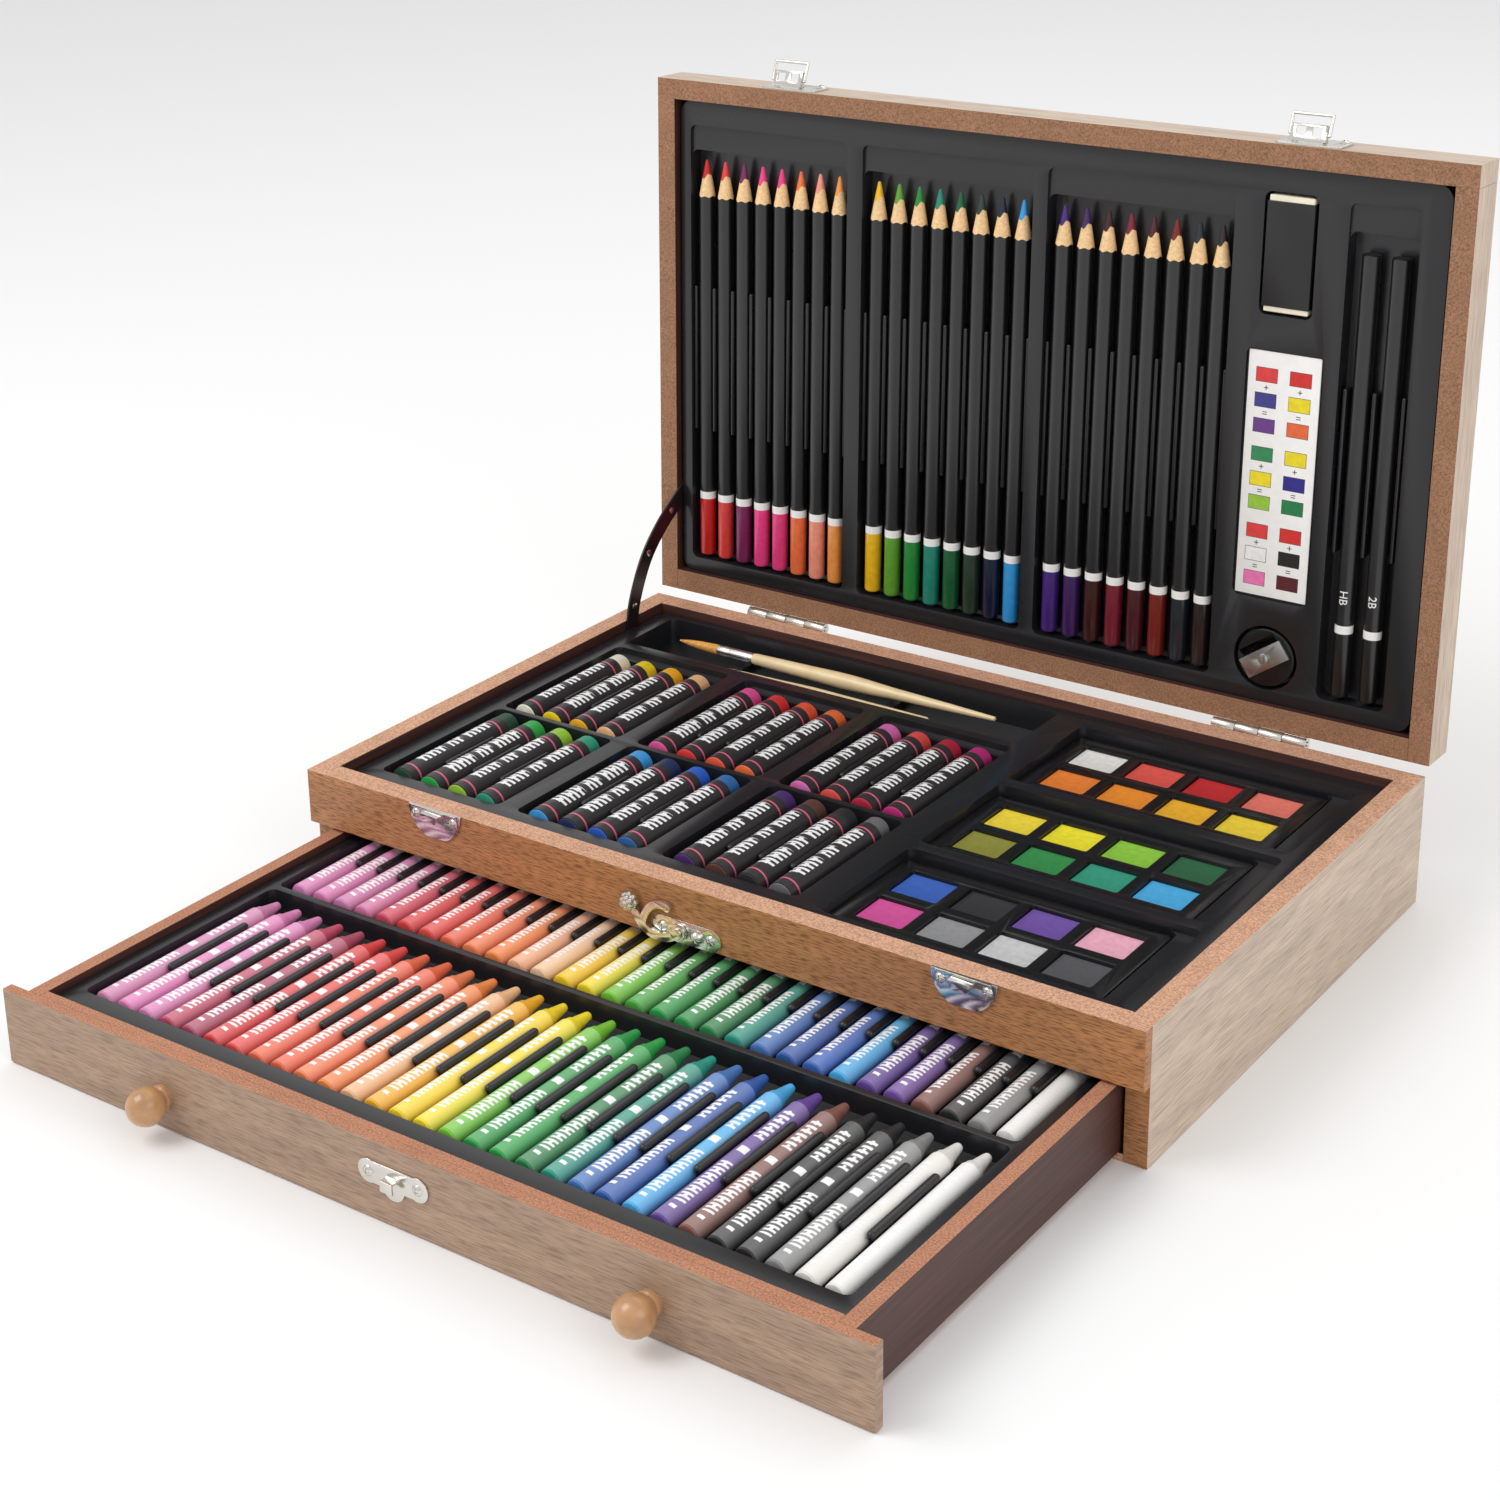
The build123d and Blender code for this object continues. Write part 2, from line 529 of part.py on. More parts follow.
def pencil():
    """Round sharpened pencil along -Y (up the open lid) from its rounded end."""
    radius = pencil_dia / 2
    profile = [(0, radius - 1.0), (0.4, radius - 0.3), (1.2, radius), (pencil_length - pencil_cone, radius),
               (pencil_length, pencil_tip_radius)]
    return Rot(0, 0, -90) * turned(profile)


def unsharpened_pencil():
    """Round pencil along -Y with a flat upper end."""
    radius = pencil_dia / 2
    return Rot(0, 0, -90) * turned([(0, radius - 0.3), (0.3, radius), (graphite_length, radius)])


def lid_pencils(axes, stick):
    return [Pos(x, up_lid(pencil_v0), pencil_depth) * stick for x in axes]


for name, axes in zip(("left", "middle", "right"), pencil_axes):
    save(f"pencils_{name}", opened(group(lid_pencils(axes, pencil()))))
save("graphite_pencils", opened(group(lid_pencils(graphite_axes, unsharpened_pencil()))))

eraser_top, eraser_bottom = lid_rim + 2.4, panel_bottom - sheet - 0.5
block = lid_slab(eraser[0] + 0.5, eraser[1] - 0.5, eraser[2], eraser[3], eraser_top + 0.5, eraser_bottom - 0.5)
save("eraser_block", opened(block))
sleeve = lid_slab(eraser[0], eraser[1], eraser[2] + 2.2, eraser[3] - 2.2, eraser_top, eraser_bottom)
sleeve = sleeve - lid_slab(eraser[0] + 0.5, eraser[1] - 0.5, eraser[2], eraser[3],
                           eraser_top + 0.5, eraser_bottom - 0.5)
save("eraser_sleeve", opened(sleeve))
save("colour_chart_card", opened(lid_slab(card[0], card[1], card[2], card[3], lid_flange + 0.6, lid_flange + 1.3)))

# Sharpener: round body lying in its bowl, opening face down in the shut lid.
sharp_y = up_lid(sharpener_v)
sharp_z0, sharp_z1 = lid_rim + 2.0, lid_flange + 8.9
blade_turn = Rot(0, 0, -35)
body = rod(sharpener_x, sharp_y, sharp_z0 + 1.4, sharpener_radius, sharp_z1 - sharp_z0 - 1.4, "z")
bridge = Pos(sharpener_x, sharp_y, sharp_z0 + 0.7) * blade_turn * Box(21.0, 8.0, 1.5)
window = Pos(sharpener_x, sharp_y, sharp_z0 + 3.0) * blade_turn * Pos(0, -5.8, 0) * Box(16.0, 3.0, 5.0)
blade_bore = rod(sharpener_x, sharp_y, sharp_z0 - 2, 1.2, 6.0, "z")
body = body + bridge - window - blade_bore
save("sharpener_body", opened(body))
blade = Pos(sharpener_x, sharp_y, sharp_z0 - 0.35) * blade_turn * Pos(0, 0.2, 0) * Box(20.0, 8.4, 0.5)
save("sharpener_blade", opened(blade - rod(sharpener_x, sharp_y, sharp_z0 - 3, 1.3, 6, "z")))
screw_cut = slab(-0.3, 0.3, -3, 3, -0.4, 0.5)
small_screw = rod(0, 0, -0.75, 2.2, 0.75, "z") - Pos(0, 0, -0.75) * slab(-0.3, 0.3, -3, 3, -0.1, 0.35)
small_screw = small_screw + rod(0, 0, 0, 1.1, 3.2, "z")
save("sharpener_screw", opened(Pos(sharpener_x, sharp_y, sharp_z0 - 0.6) * small_screw))

# ---- lid latches, drawn shut and latched ----------------------------------------------------
lever_pivot_z, lever_pivot_y = latch_plate_bottom + 1.8, front_y - 2.2
lever_half = 7.0
lever_wall = 0.8
ear_radius = 1.15
lever_length = 5.6
lever_open_angle = 72.0
bail_wire = 1.3
bail_pivot_rise, bail_pivot_out = 1.8, 0.9
bail_half = lever_half + 0.3 + bail_wire / 2
bail_reach = lever_pivot_z + bail_pivot_rise - catch_bar_z
bail_open_angle = 189.0


def latch_plate(x):
    """Base plate with two ears and a cross pin for the lever."""
    body = slab(x - 13.5, x + 13.5, front_y - plate, front_y, latch_plate_bottom, latch_plate_top)
    body = fillet(body.edges().filter_by(Axis.Y), 2.0)
    for side in (-1, 1):
        xs = sorted((x + side * (lever_half - lever_wall - 0.3), x + side * (lever_half - lever_wall - 1.2)))
        ear = slab(xs[0], xs[1], lever_pivot_y, front_y - plate / 2,
                   lever_pivot_z - ear_radius, lever_pivot_z + ear_radius)
        ear = ear + rod(xs[0], lever_pivot_y, lever_pivot_z, ear_radius, xs[1] - xs[0], "x")
        body = body + ear
    body = body + rod(x - lever_half - 0.1, lever_pivot_y, lever_pivot_z, 0.7, 2 * lever_half + 0.2, "x")
    return drill(body, [rod(x + dx, front_y - 3, latch_plate_top - 2.9, screw_shank_dia / 2 + 0.1, 5)
                        for dx in (-10.6, 10.6)])


def latch_lever(x):
    """Channel lever: two cheeks and a face, free end up."""
    y_out = lever_pivot_y - 2.1
    body = slab(x - lever_half, x + lever_half, y_out, y_out + lever_wall,
                lever_pivot_z - 1.0, lever_pivot_z + lever_length)
    for side in (-1, 1):
        xs = sorted((x + side * lever_half, x + side * (lever_half - lever_wall)))
        cheek = slab(xs[0], xs[1], y_out, lever_pivot_y + 0.3, lever_pivot_z - 1.0, lever_pivot_z + lever_length)
        cheek = cheek + rod(xs[0], lever_pivot_y, lever_pivot_z, 1.2, xs[1] - xs[0], "x")
        body = body + cheek
    for side in (-1, 1):
        xs = sorted((x + side * 1.3, x + side * (lever_half - 1.7)))
        body = body - slab(xs[0], xs[1], y_out - 1, y_out + lever_wall + 0.1,
                           lever_pivot_z + 1.0, lever_pivot_z + lever_length - 1.0)
    body = body - rod(x - 10, lever_pivot_y, lever_pivot_z, 0.7 + running_gap, 20, "x")
    pin_y, pin_z = lever_pivot_y - bail_pivot_out, lever_pivot_z + bail_pivot_rise
    return body - rod(x - 10, pin_y, pin_z, bail_wire / 2 + running_gap, 20, "x")


def latch_bail(x):
    """Wire loop round the lever, pivoted in its cheeks, cross bar down."""
    pin_y, pin_z = lever_pivot_y - bail_pivot_out, lever_pivot_z + bail_pivot_rise
    lean = front_y - catch_bar_out - pin_y
    wire = bail_wire / 2
    body = None
    for side in (-1, 1):
        top = (x + side * bail_half, pin_y, pin_z)
        low = (x + side * bail_half, pin_y + lean, pin_z - bail_reach)
        leg = Line(top, low)
        leg_solid = sweep(Plane(origin=top, z_dir=leg % 0) * Circle(wire), path=leg)
        stub_from = x + side * (lever_half - lever_wall - 0.2)
        xs = sorted((stub_from, x + side * bail_half))
        stub = rod(xs[0], pin_y, pin_z, wire, xs[1] - xs[0], "x")
        piece = leg_solid + stub + Pos(*top) * Sphere(wire) + Pos(*low) * Sphere(wire)
        body = piece if body is None else body + piece
    return body + rod(x - bail_half, pin_y + lean, pin_z - bail_reach, wire, 2 * bail_half, "x")


def lever_raised(shape):
    """Swing a lever piece out from its shut place."""
    turn = Pos(0, lever_pivot_y, lever_pivot_z) * Rot(lever_open_angle, 0, 0)
    return turn * Pos(0, -lever_pivot_y, -lever_pivot_z) * shape


def bail_raised(shape):
    """Swing a bail up about its own pivot before the lever is raised."""
    pin_y, pin_z = lever_pivot_y - bail_pivot_out, lever_pivot_z + bail_pivot_rise
    turn = Pos(0, pin_y, pin_z) * Rot(-bail_open_angle, 0, 0)
    return turn * Pos(0, -pin_y, -pin_z) * shape


save("latch_plates", opened(group([latch_plate(s * fitting_x) for s in (-1, 1)])))
save("latch_screws", opened(group(front_screws(latch_screws, front_y))))
for name, side in (("left", -1), ("right", 1)):
    save(f"latch_lever_{name}", opened(lever_raised(latch_lever(side * fitting_x))))
    save(f"latch_bail_{name}", opened(lever_raised(bail_raised(latch_bail(side * fitting_x)))))

# ---- drawer, drawn shut ---------------------------------------------------------------------
box_x = inner_x - drawer_side_gap
box_in_x = box_x - drawer_side_thickness
face_back = front_y + drawer_front_thickness
inner_face = face_back + drawer_inner_front
box_back = inner_back_y - drawer_back_gap
box_bottom = bottom_thickness + drawer_lift
knob_bore = [rod(s * knob_x, front_y - 3, knob_z, 2.5 + screw_fit, 3 + 3.6) for s in (-1, 1)]
keeper_bores = screw_bores(drawer_keeper_screws, front_y)
drawer_front = slab(-drawer_front_width / 2, drawer_front_width / 2, front_y, face_back,
                    drawer_front_bottom, drawer_front_top)
save("drawer_front", pulled(drill(drawer_front, knob_bore + keeper_bores)))
inner_front = slab(-box_in_x, box_in_x, face_back, inner_face, box_bottom, drawer_front_top)
save("drawer_inner_front", pulled(drill(inner_front, keeper_bores)))
for name, side in (("drawer_side_left", -1), ("drawer_side_right", 1)):
    xs = sorted((side * box_in_x, side * box_x))
    save(name, pulled(slab(xs[0], xs[1], face_back, box_back, box_bottom, drawer_front_top)))
save("drawer_back", pulled(slab(-box_in_x, box_in_x, box_back - drawer_back_thickness, box_back,
                                box_bottom, drawer_front_top)))
drawer_inside_back = box_back - drawer_back_thickness
save("drawer_bottom", pulled(slab(-box_in_x, box_in_x, inner_face, drawer_inside_back,
                                  box_bottom, box_bottom + drawer_floor)))

drawer_tray_top = drawer_front_top - drawer_tray_drop
tray_half = box_in_x - 0.4
row_half = tray_half - 5.6
crayon_z = drawer_tray_top - 3.8
crayon_floor = crayon_z - crayon_dia / 2 - soft_gap
crayon_end_gap = 2.77
crayon_pitch = (2 * (row_half - crayon_end_gap) - crayon_dia) / (crayons_per_row - 1)
crayon_x = spaced(-crayon_pitch * (crayons_per_row - 1) / 2, crayon_pitch, crayons_per_row)
crayon_pockets = {"front": (-98.5, -2.5), "back": (0.5, 95.5)}
crayon_starts = {"front": -96.2, "back": 4.5}
pockets = [(-row_half, row_half, y0, y1, crayon_floor) for y0, y1 in crayon_pockets.values()]
ribs = []
for start in crayon_starts.values():
    ribs += ribs_between(crayon_x, start + crayon_rib_start, start + crayon_rib_end, crayon_floor,
                         crayon_z, crayon_dia, crayon_pitch, 2.8)
drawer_tray = tray(-tray_half, tray_half, inner_face + tray_end_gap, drawer_inside_back - tray_end_gap,
                   box_bottom + drawer_floor, drawer_tray_top, pockets, ribs)
save("drawer_tray", pulled(drawer_tray))


def crayon():
    """Crayon along +Y: eased flat end, straight barrel and a blunt cone."""
    radius = crayon_dia / 2
    barrel_end = crayon_length - crayon_cone
    profile = [(0, radius - 0.6), (0.6, radius), (barrel_end, radius), (barrel_end + 1.2, radius - 0.6),
               (crayon_length - 1.2, crayon_tip_radius), (crayon_length, crayon_tip_radius - 0.7)]
    return Rot(0, 0, 90) * turned(profile)


for row, start in crayon_starts.items():
    save(f"crayons_{row}_row", pulled(group([Pos(x, start, crayon_z) * crayon() for x in crayon_x])))


def knob():
    """Turned ball knob along +Z with a foot and a short tenon."""
    sphere = Pos(0, 0, knob_centre) * Sphere(knob_dia / 2)
    foot = rod(0, 0, 0, 4.6, 2.0, "z") + rod(0, 0, 0, 3.6, knob_centre - 4, "z")
    body = (sphere & slab(-9, 9, -9, 9, 1.2, 20)) + foot
    return body + rod(0, 0, -3.4, 2.5, 3.5, "z")


save("drawer_knobs", pulled(group([Pos(s * knob_x, front_y, knob_z) * Rot(90, 0, 0) * knob() for s in (-1, 1)])))

tab_half, tab_top, tab_out = 2.6, drawer_keeper_z + 0.8, 4.2
bone = Pos(drawer_keeper_x, drawer_keeper_z) * SlotOverall(27.0, 8.0)
bone = bone + Pos(drawer_keeper_x - 10.5, drawer_keeper_z) * Circle(4.4)
bone = bone + Pos(drawer_keeper_x + 10.5, drawer_keeper_z) * Circle(4.4)
bone = bone + Pos(drawer_keeper_x, drawer_keeper_z - 3.0) * Circle(4.8)
keeper = facing(bone, front_y, plate)
roof = slab(drawer_keeper_x - tab_half, drawer_keeper_x + tab_half, front_y - tab_out, front_y - plate / 2,
            tab_top - plate, tab_top)
lip = slab(drawer_keeper_x - tab_half, drawer_keeper_x + tab_half, front_y - tab_out, front_y - tab_out + plate,
           tab_top - 4.0, tab_top)
keeper = keeper + roof + lip
keeper = drill(keeper, [rod(x, front_y - 3, z, screw_shank_dia / 2 + 0.1, 5) for x, z in drawer_keeper_screws])
save("drawer_keeper", pulled(keeper))
save("drawer_keeper_screws", pulled(group(front_screws(drawer_keeper_screws, front_y))))
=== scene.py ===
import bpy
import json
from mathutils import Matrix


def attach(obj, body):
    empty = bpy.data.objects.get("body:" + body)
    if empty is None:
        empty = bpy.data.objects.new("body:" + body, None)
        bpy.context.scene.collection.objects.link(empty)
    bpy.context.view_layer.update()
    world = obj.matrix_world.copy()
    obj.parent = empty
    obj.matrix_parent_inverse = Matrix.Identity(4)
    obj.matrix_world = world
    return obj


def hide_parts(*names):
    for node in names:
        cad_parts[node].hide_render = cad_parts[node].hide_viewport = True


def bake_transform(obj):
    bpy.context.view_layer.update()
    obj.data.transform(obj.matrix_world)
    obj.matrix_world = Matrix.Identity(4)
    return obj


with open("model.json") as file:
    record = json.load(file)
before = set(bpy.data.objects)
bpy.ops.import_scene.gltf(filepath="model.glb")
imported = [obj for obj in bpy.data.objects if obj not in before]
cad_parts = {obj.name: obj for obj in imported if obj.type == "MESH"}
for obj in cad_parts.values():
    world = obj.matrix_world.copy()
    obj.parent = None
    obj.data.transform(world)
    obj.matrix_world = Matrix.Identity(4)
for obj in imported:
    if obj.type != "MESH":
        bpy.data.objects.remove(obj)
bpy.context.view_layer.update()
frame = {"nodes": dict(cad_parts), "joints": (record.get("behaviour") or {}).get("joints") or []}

import json
from math import cos, pi, radians, sin

import bmesh
import bpy
from bpy.props import FloatProperty, FloatVectorProperty, IntProperty, PointerProperty
from mathutils import Matrix, Vector

bl_info = {
    "name": "Three-Level Art Case",
    "version": (1, 0, 0),
    "blender": (4, 5, 0),
    "location": "3D View > Sidebar > Art Case",
    "description": "Dresses the art case: boards, trays, sticks, paints and metal fittings",
    "category": "Object",
}

MM = 0.001
NODES = frame["nodes"]


# ---- places taken from the frame ---------------------------------------------------------------
def joint(name):
    return next(j for j in frame["joints"] if j["name"] == name)


lid_joint, drawer_joint = joint("lid_hinge"), joint("drawer_slide")
HINGE = Vector(lid_joint["pos_m"])
OPENING = radians(lid_joint["range_deg"][1])
LID = Matrix.Translation(HINGE) @ Matrix.Rotation(-OPENING, 4, "X") @ Matrix.Translation(-HINGE)
DRAWER = Matrix.Translation((0, -drawer_joint["range_m"][1], 0))
CASE = Matrix.Identity(4)


def corners(points):
    """Lowest and highest corner of some points."""
    return tuple(Vector(pick(p[i] for p in points) for i in range(3)) for pick in (min, max))


def shut_box(node, place=CASE):
    """Corners of a CAD node, in metres, with its lid shut or its drawer pushed in."""
    back = place.inverted()
    return corners([back @ v.co for v in NODES[node].data.vertices])


def solid_boxes(node, place=CASE):
    """Box of each loose solid in a CAD node, sorted from left to right and front to back."""
    bm = bmesh.new()
    bm.from_mesh(NODES[node].data)
    bmesh.ops.remove_doubles(bm, verts=bm.verts, dist=0.00001)
    back = place.inverted()
    seen, boxes = set(), []
    for start in bm.verts:
        if start in seen:
            continue
        stack, island = [start], []
        seen.add(start)
        while stack:
            vert = stack.pop()
            island.append(back @ vert.co)
            for edge in vert.link_edges:
                other = edge.other_vert(vert)
                if other not in seen:
                    seen.add(other)
                    stack.append(other)
        boxes.append(corners(island))
    bm.free()
    return sorted(boxes, key=lambda b: (round(b[0].y, 3), b[0].x))


# ---- colours and materials ---------------------------------------------------------------------
WHITE = (1.0, 1.0, 1.0, 1.0)


def linear(code):
    """sRGB hex to linear RGBA."""
    parts = [int(code[i : i + 2], 16) / 255 for i in (1, 3, 5)]
    return [p / 12.92 if p <= 0.04045 else ((p + 0.055) / 1.055) ** 2.4 for p in parts] + [1.0]


def add(tree, kind, links=None, **settings):
    """Adds one node: settings are attributes or input values, links are {input: output socket}."""
    node = tree.nodes.new(kind)
    for key, value in settings.items():
        if hasattr(node, key):
            setattr(node, key, value)
        else:
            node.inputs[key.replace("_", " ")].default_value = value
    for key, socket in (links or {}).items():
        tree.links.new(socket, node.inputs[key])
    return node


def new_material(name):
    material = bpy.data.materials.new(name)
    material.use_nodes = True
    material.node_tree.nodes.clear()
    return material, material.node_tree


def surface(tree, links=None, **values):
    shader = add(tree, "ShaderNodeBsdfPrincipled", links)
    for key, value in values.items():
        shader.inputs[key.replace("_", " ")].default_value = value
    add(tree, "ShaderNodeOutputMaterial", {"Surface": shader.outputs[0]})
    return shader


def ramp(tree, source, *stops):
    """Colour ramp with (position, colour) stops."""
    node = add(tree, "ShaderNodeValToRGB", {"Fac": source})
    elements = node.color_ramp.elements
    while len(elements) < len(stops):
        elements.new(0.5)
    for element, (position, colour) in zip(elements, stops):
        element.position, element.color = position, colour
    return node.outputs["Color"]


def feed(tree, socket, value):
    """Links a socket to another node's output, or sets its value."""
    if hasattr(value, "is_linked"):
        tree.links.new(value, socket)
    else:
        socket.default_value = value


def mixed(tree, factor, a, b, blend="MIX"):
    node = add(tree, "ShaderNodeMix", data_type="RGBA", blend_type=blend)
    for index, value in ((0, factor), (6, a), (7, b)):
        feed(tree, node.inputs[index], value)
    return node.outputs[2]


def shade(colour, factor):
    return [min(1.0, c * factor) for c in colour[:3]] + [1.0]


def mottle(tree, scale, detail=3.0, **more):
    """Noise over the object's own place, in cells per metre."""
    place = add(tree, "ShaderNodeTexCoord").outputs["Object"]
    return add(tree, "ShaderNodeTexNoise", {"Vector": place}, Scale=scale, Detail=detail, **more).outputs["Fac"]


def bumped(tree, height, strength, distance):
    return add(tree, "ShaderNodeBump", {"Height": height}, Strength=strength, Distance=distance).outputs[0]


def along_board(tree, stretch, **noise):
    """Noise over the board's grain attribute, which is in millimetres along and across the grain."""
    grain = add(tree, "ShaderNodeAttribute", attribute_name="grain").outputs["Vector"]
    lines = add(tree, "ShaderNodeMapping", {"Vector": grain}, Scale=stretch)
    return add(tree, "ShaderNodeTexNoise", {"Vector": lines.outputs[0]}, Scale=1.0, **noise).outputs["Fac"]


def beech_wrap(name, colour, fleck_length, depth):
    """Paper-wrapped board with a printed beech grain, satin and flat.

    Fine dark flecks about 0.5 mm across, fleck_length millimetres long, lie over soft streaks about 6 mm
    apart. depth is how strongly the flecks print, from 0 to 1.
    """
    material, tree = new_material(name)
    fleck = along_board(tree, (1.0 / fleck_length, 2.0, 1.0), Detail=2.0, Roughness=0.55)
    streak = along_board(tree, (0.012, 0.17, 1.0), Detail=4.0, Distortion=0.6)
    tone = ramp(tree, streak, (0.3, shade(colour, 0.86)), (0.7, shade(colour, 1.12)))
    mark = ramp(tree, fleck, (0.38, linear("#6a4c3a")), (0.53, WHITE))
    surface(tree, {"Base Color": mixed(tree, depth, tone, mark, "MULTIPLY"),
                   "Normal": bumped(tree, fleck, 0.05, 0.0001)}, Roughness=0.42, Specular_IOR_Level=0.4)
    return material


def fibreboard(name, colour):
    """Sawn edge of medium-density fibreboard: matt, with fine light and dark fibre specks about 0.7 mm apart."""
    material, tree = new_material(name)
    fine = mottle(tree, 1400.0, Roughness=0.7)
    specks = ramp(tree, fine, (0.34, shade(colour, 0.58)), (0.5, colour), (0.68, shade(colour, 1.38)))
    cloud = ramp(tree, mottle(tree, 90.0, 2.0), (0.3, (0.88, 0.88, 0.88, 1)), (0.7, WHITE))
    surface(tree, {"Base Color": mixed(tree, 1.0, specks, cloud, "MULTIPLY"),
                   "Normal": bumped(tree, fine, 0.35, 0.0002)}, Roughness=0.85, Specular_IOR_Level=0.25)
    return material


def dark_wrap(name, colour):
    """Dark printed paper on the hidden sides of the boards: faint red-brown grain, slightly satin."""
    material, tree = new_material(name)
    noise = along_board(tree, (0.02, 0.6, 1.0), Detail=4.0)
    tone = ramp(tree, noise, (0.3, shade(colour, 0.6)), (0.7, shade(colour, 1.3)))
    surface(tree, {"Base Color": tone}, Roughness=0.5)
    return material


def formed_sheet(name, colour, gloss):
    """Vacuum-formed polystyrene sheet: near black, satin, with a faint orange-peel from the mould."""
    material, tree = new_material(name)
    peel = mottle(tree, 260.0, 2.0)
    rough = add(tree, "ShaderNodeMapRange", {"Value": mottle(tree, 22.0, 2.0)}, To_Min=gloss - 0.05,
                To_Max=gloss + 0.07)
    surface(tree, {"Roughness": rough.outputs[0], "Normal": bumped(tree, peel, 0.08, 0.0003)}, Base_Color=colour,
            Specular_IOR_Level=0.55)
    return material


def nickel(name, colour, rough):
    """Bright nickel plate on stamped steel: mirror-like with faint polishing haze."""
    material, tree = new_material(name)
    haze = add(tree, "ShaderNodeMapRange", {"Value": mottle(tree, 600.0)}, To_Min=rough - 0.04, To_Max=rough + 0.08)
    surface(tree, {"Roughness": haze.outputs[0]}, Base_Color=colour, Metallic=1.0)
    return material


def coloured(name, rough, grain, coat=0.0):
    """A finish whose colour differs from stick to stick, read from the stick's own paint attribute."""
    material, tree = new_material(name)
    paint = add(tree, "ShaderNodeAttribute", attribute_name="paint").outputs["Color"]
    noise = mottle(tree, 420.0)
    tone = ramp(tree, noise, (0.3, (0.84, 0.84, 0.84, 1)), (0.7, WHITE))
    surface(tree, {"Base Color": mixed(tree, 1.0, paint, tone, "MULTIPLY"),
                   "Normal": bumped(tree, noise, grain, 0.0003)}, Roughness=rough, Coat_Weight=coat,
            Coat_Roughness=0.12)
    return material


def plain(name, colour, rough, scale=500.0, grain=0.05, contrast=0.12, coat=0.0):
    """One-coloured finish with a light mottling and a fine bump."""
    material, tree = new_material(name)
    noise = mottle(tree, scale)
    tone = ramp(tree, noise, (0.3, shade(colour, 1 - contrast)), (0.7, shade(colour, 1 + contrast)))
    surface(tree, {"Base Color": tone, "Normal": bumped(tree, noise, grain, 0.0003)}, Roughness=rough,
            Coat_Weight=coat, Coat_Roughness=0.15)
    return material


def marks(tree, along, around, start, stop, half_width, pitch, filled):
    """Mask of short printed bars between two lengths along a stick; 1 on a bar."""
    def math(kind, *values):
        node = add(tree, "ShaderNodeMath", operation=kind)
        for socket, value in zip(node.inputs, values):
            feed(tree, socket, value)
        return node.outputs[0]

    inside = math("MULTIPLY", math("GREATER_THAN", along, start), math("LESS_THAN", along, stop))
    slant = math("ADD", along, math("MULTIPLY", around, 5.0))
    cell = math("FRACT", math("DIVIDE", slant, pitch))
    bar = math("LESS_THAN", cell, filled)
    offset = math("ABSOLUTE", math("SUBTRACT", around, 0.5))
    band = math("LESS_THAN", offset, half_width)
    middle = math("LESS_THAN", offset, half_width * 0.28)
    hook = math("LESS_THAN", math("FRACT", math("DIVIDE", along, pitch * 2.0)), 0.5)
    bar = math("MAXIMUM", bar, math("MULTIPLY", middle, hook))
    return math("MULTIPLY", inside, math("MULTIPLY", band, bar))


def wrapper(name, base, prints, ring_colour=None, rings=(), rough=0.45):
    """Paper sleeve on a stick: base is a colour, or None for the stick's own paint a little paler.

    A print is start, stop, half width as a share of a turn, pitch, inked share of the pitch, and ink. A ring
    is its place. Lengths are millimetres from the stick's back end.
    """
    material, tree = new_material(name)
    place = add(tree, "ShaderNodeAttribute", attribute_name="along_around").outputs["Vector"]
    split = add(tree, "ShaderNodeSeparateXYZ", {"Vector": place})
    along, around = split.outputs[0], split.outputs[1]
    if base is None:
        paint = add(tree, "ShaderNodeAttribute", attribute_name="paint").outputs["Color"]
        colour = mixed(tree, 0.1, paint, WHITE)
    else:
        colour = base
    for *bars, ink in prints:
        colour = mixed(tree, marks(tree, along, around, *bars), colour, ink)
    for ring in rings:
        line = add(tree, "ShaderNodeMath", operation="COMPARE")
        for socket, value in zip(line.inputs, (along, ring, 0.45)):
            feed(tree, socket, value)
        colour = mixed(tree, line.outputs[0], colour, ring_colour)
    surface(tree, {"Base Color": colour, "Normal": bumped(tree, mottle(tree, 700.0, 2.0), 0.06, 0.0002)},
            Roughness=rough, Coat_Weight=0.25, Coat_Roughness=0.2)
    return material


# ---- mesh helpers ------------------------------------------------------------------------------
def link(obj):
    bpy.context.scene.collection.objects.link(obj)
    return obj


def from_bmesh(name, bm, materials, smooth=True):
    mesh = bpy.data.meshes.new(name)
    bm.to_mesh(mesh)
    bm.free()
    for material in materials:
        mesh.materials.append(material)
    mesh.polygons.foreach_set("use_smooth", [smooth] * len(mesh.polygons))
    return link(bpy.data.objects.new(name, mesh))


def cuboid(bm, size):
    """Adds a box about the origin, with its size in millimetres."""
    made = bmesh.ops.create_cube(bm, size=1.0)
    bmesh.ops.scale(bm, verts=made["verts"], vec=[s * MM for s in size])


def settle(obj):
    """Bakes an object's modifiers into its mesh."""
    graph = bpy.context.evaluated_depsgraph_get()
    mesh = bpy.data.meshes.new_from_object(obj.evaluated_get(graph), preserve_all_data_layers=True, depsgraph=graph)
    obj.modifiers.clear()
    obj.data = mesh
    return obj


def join_body(obj, body, *nodes, slot=None):
    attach(obj, body)
    if nodes:
        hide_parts(*nodes)
    return obj


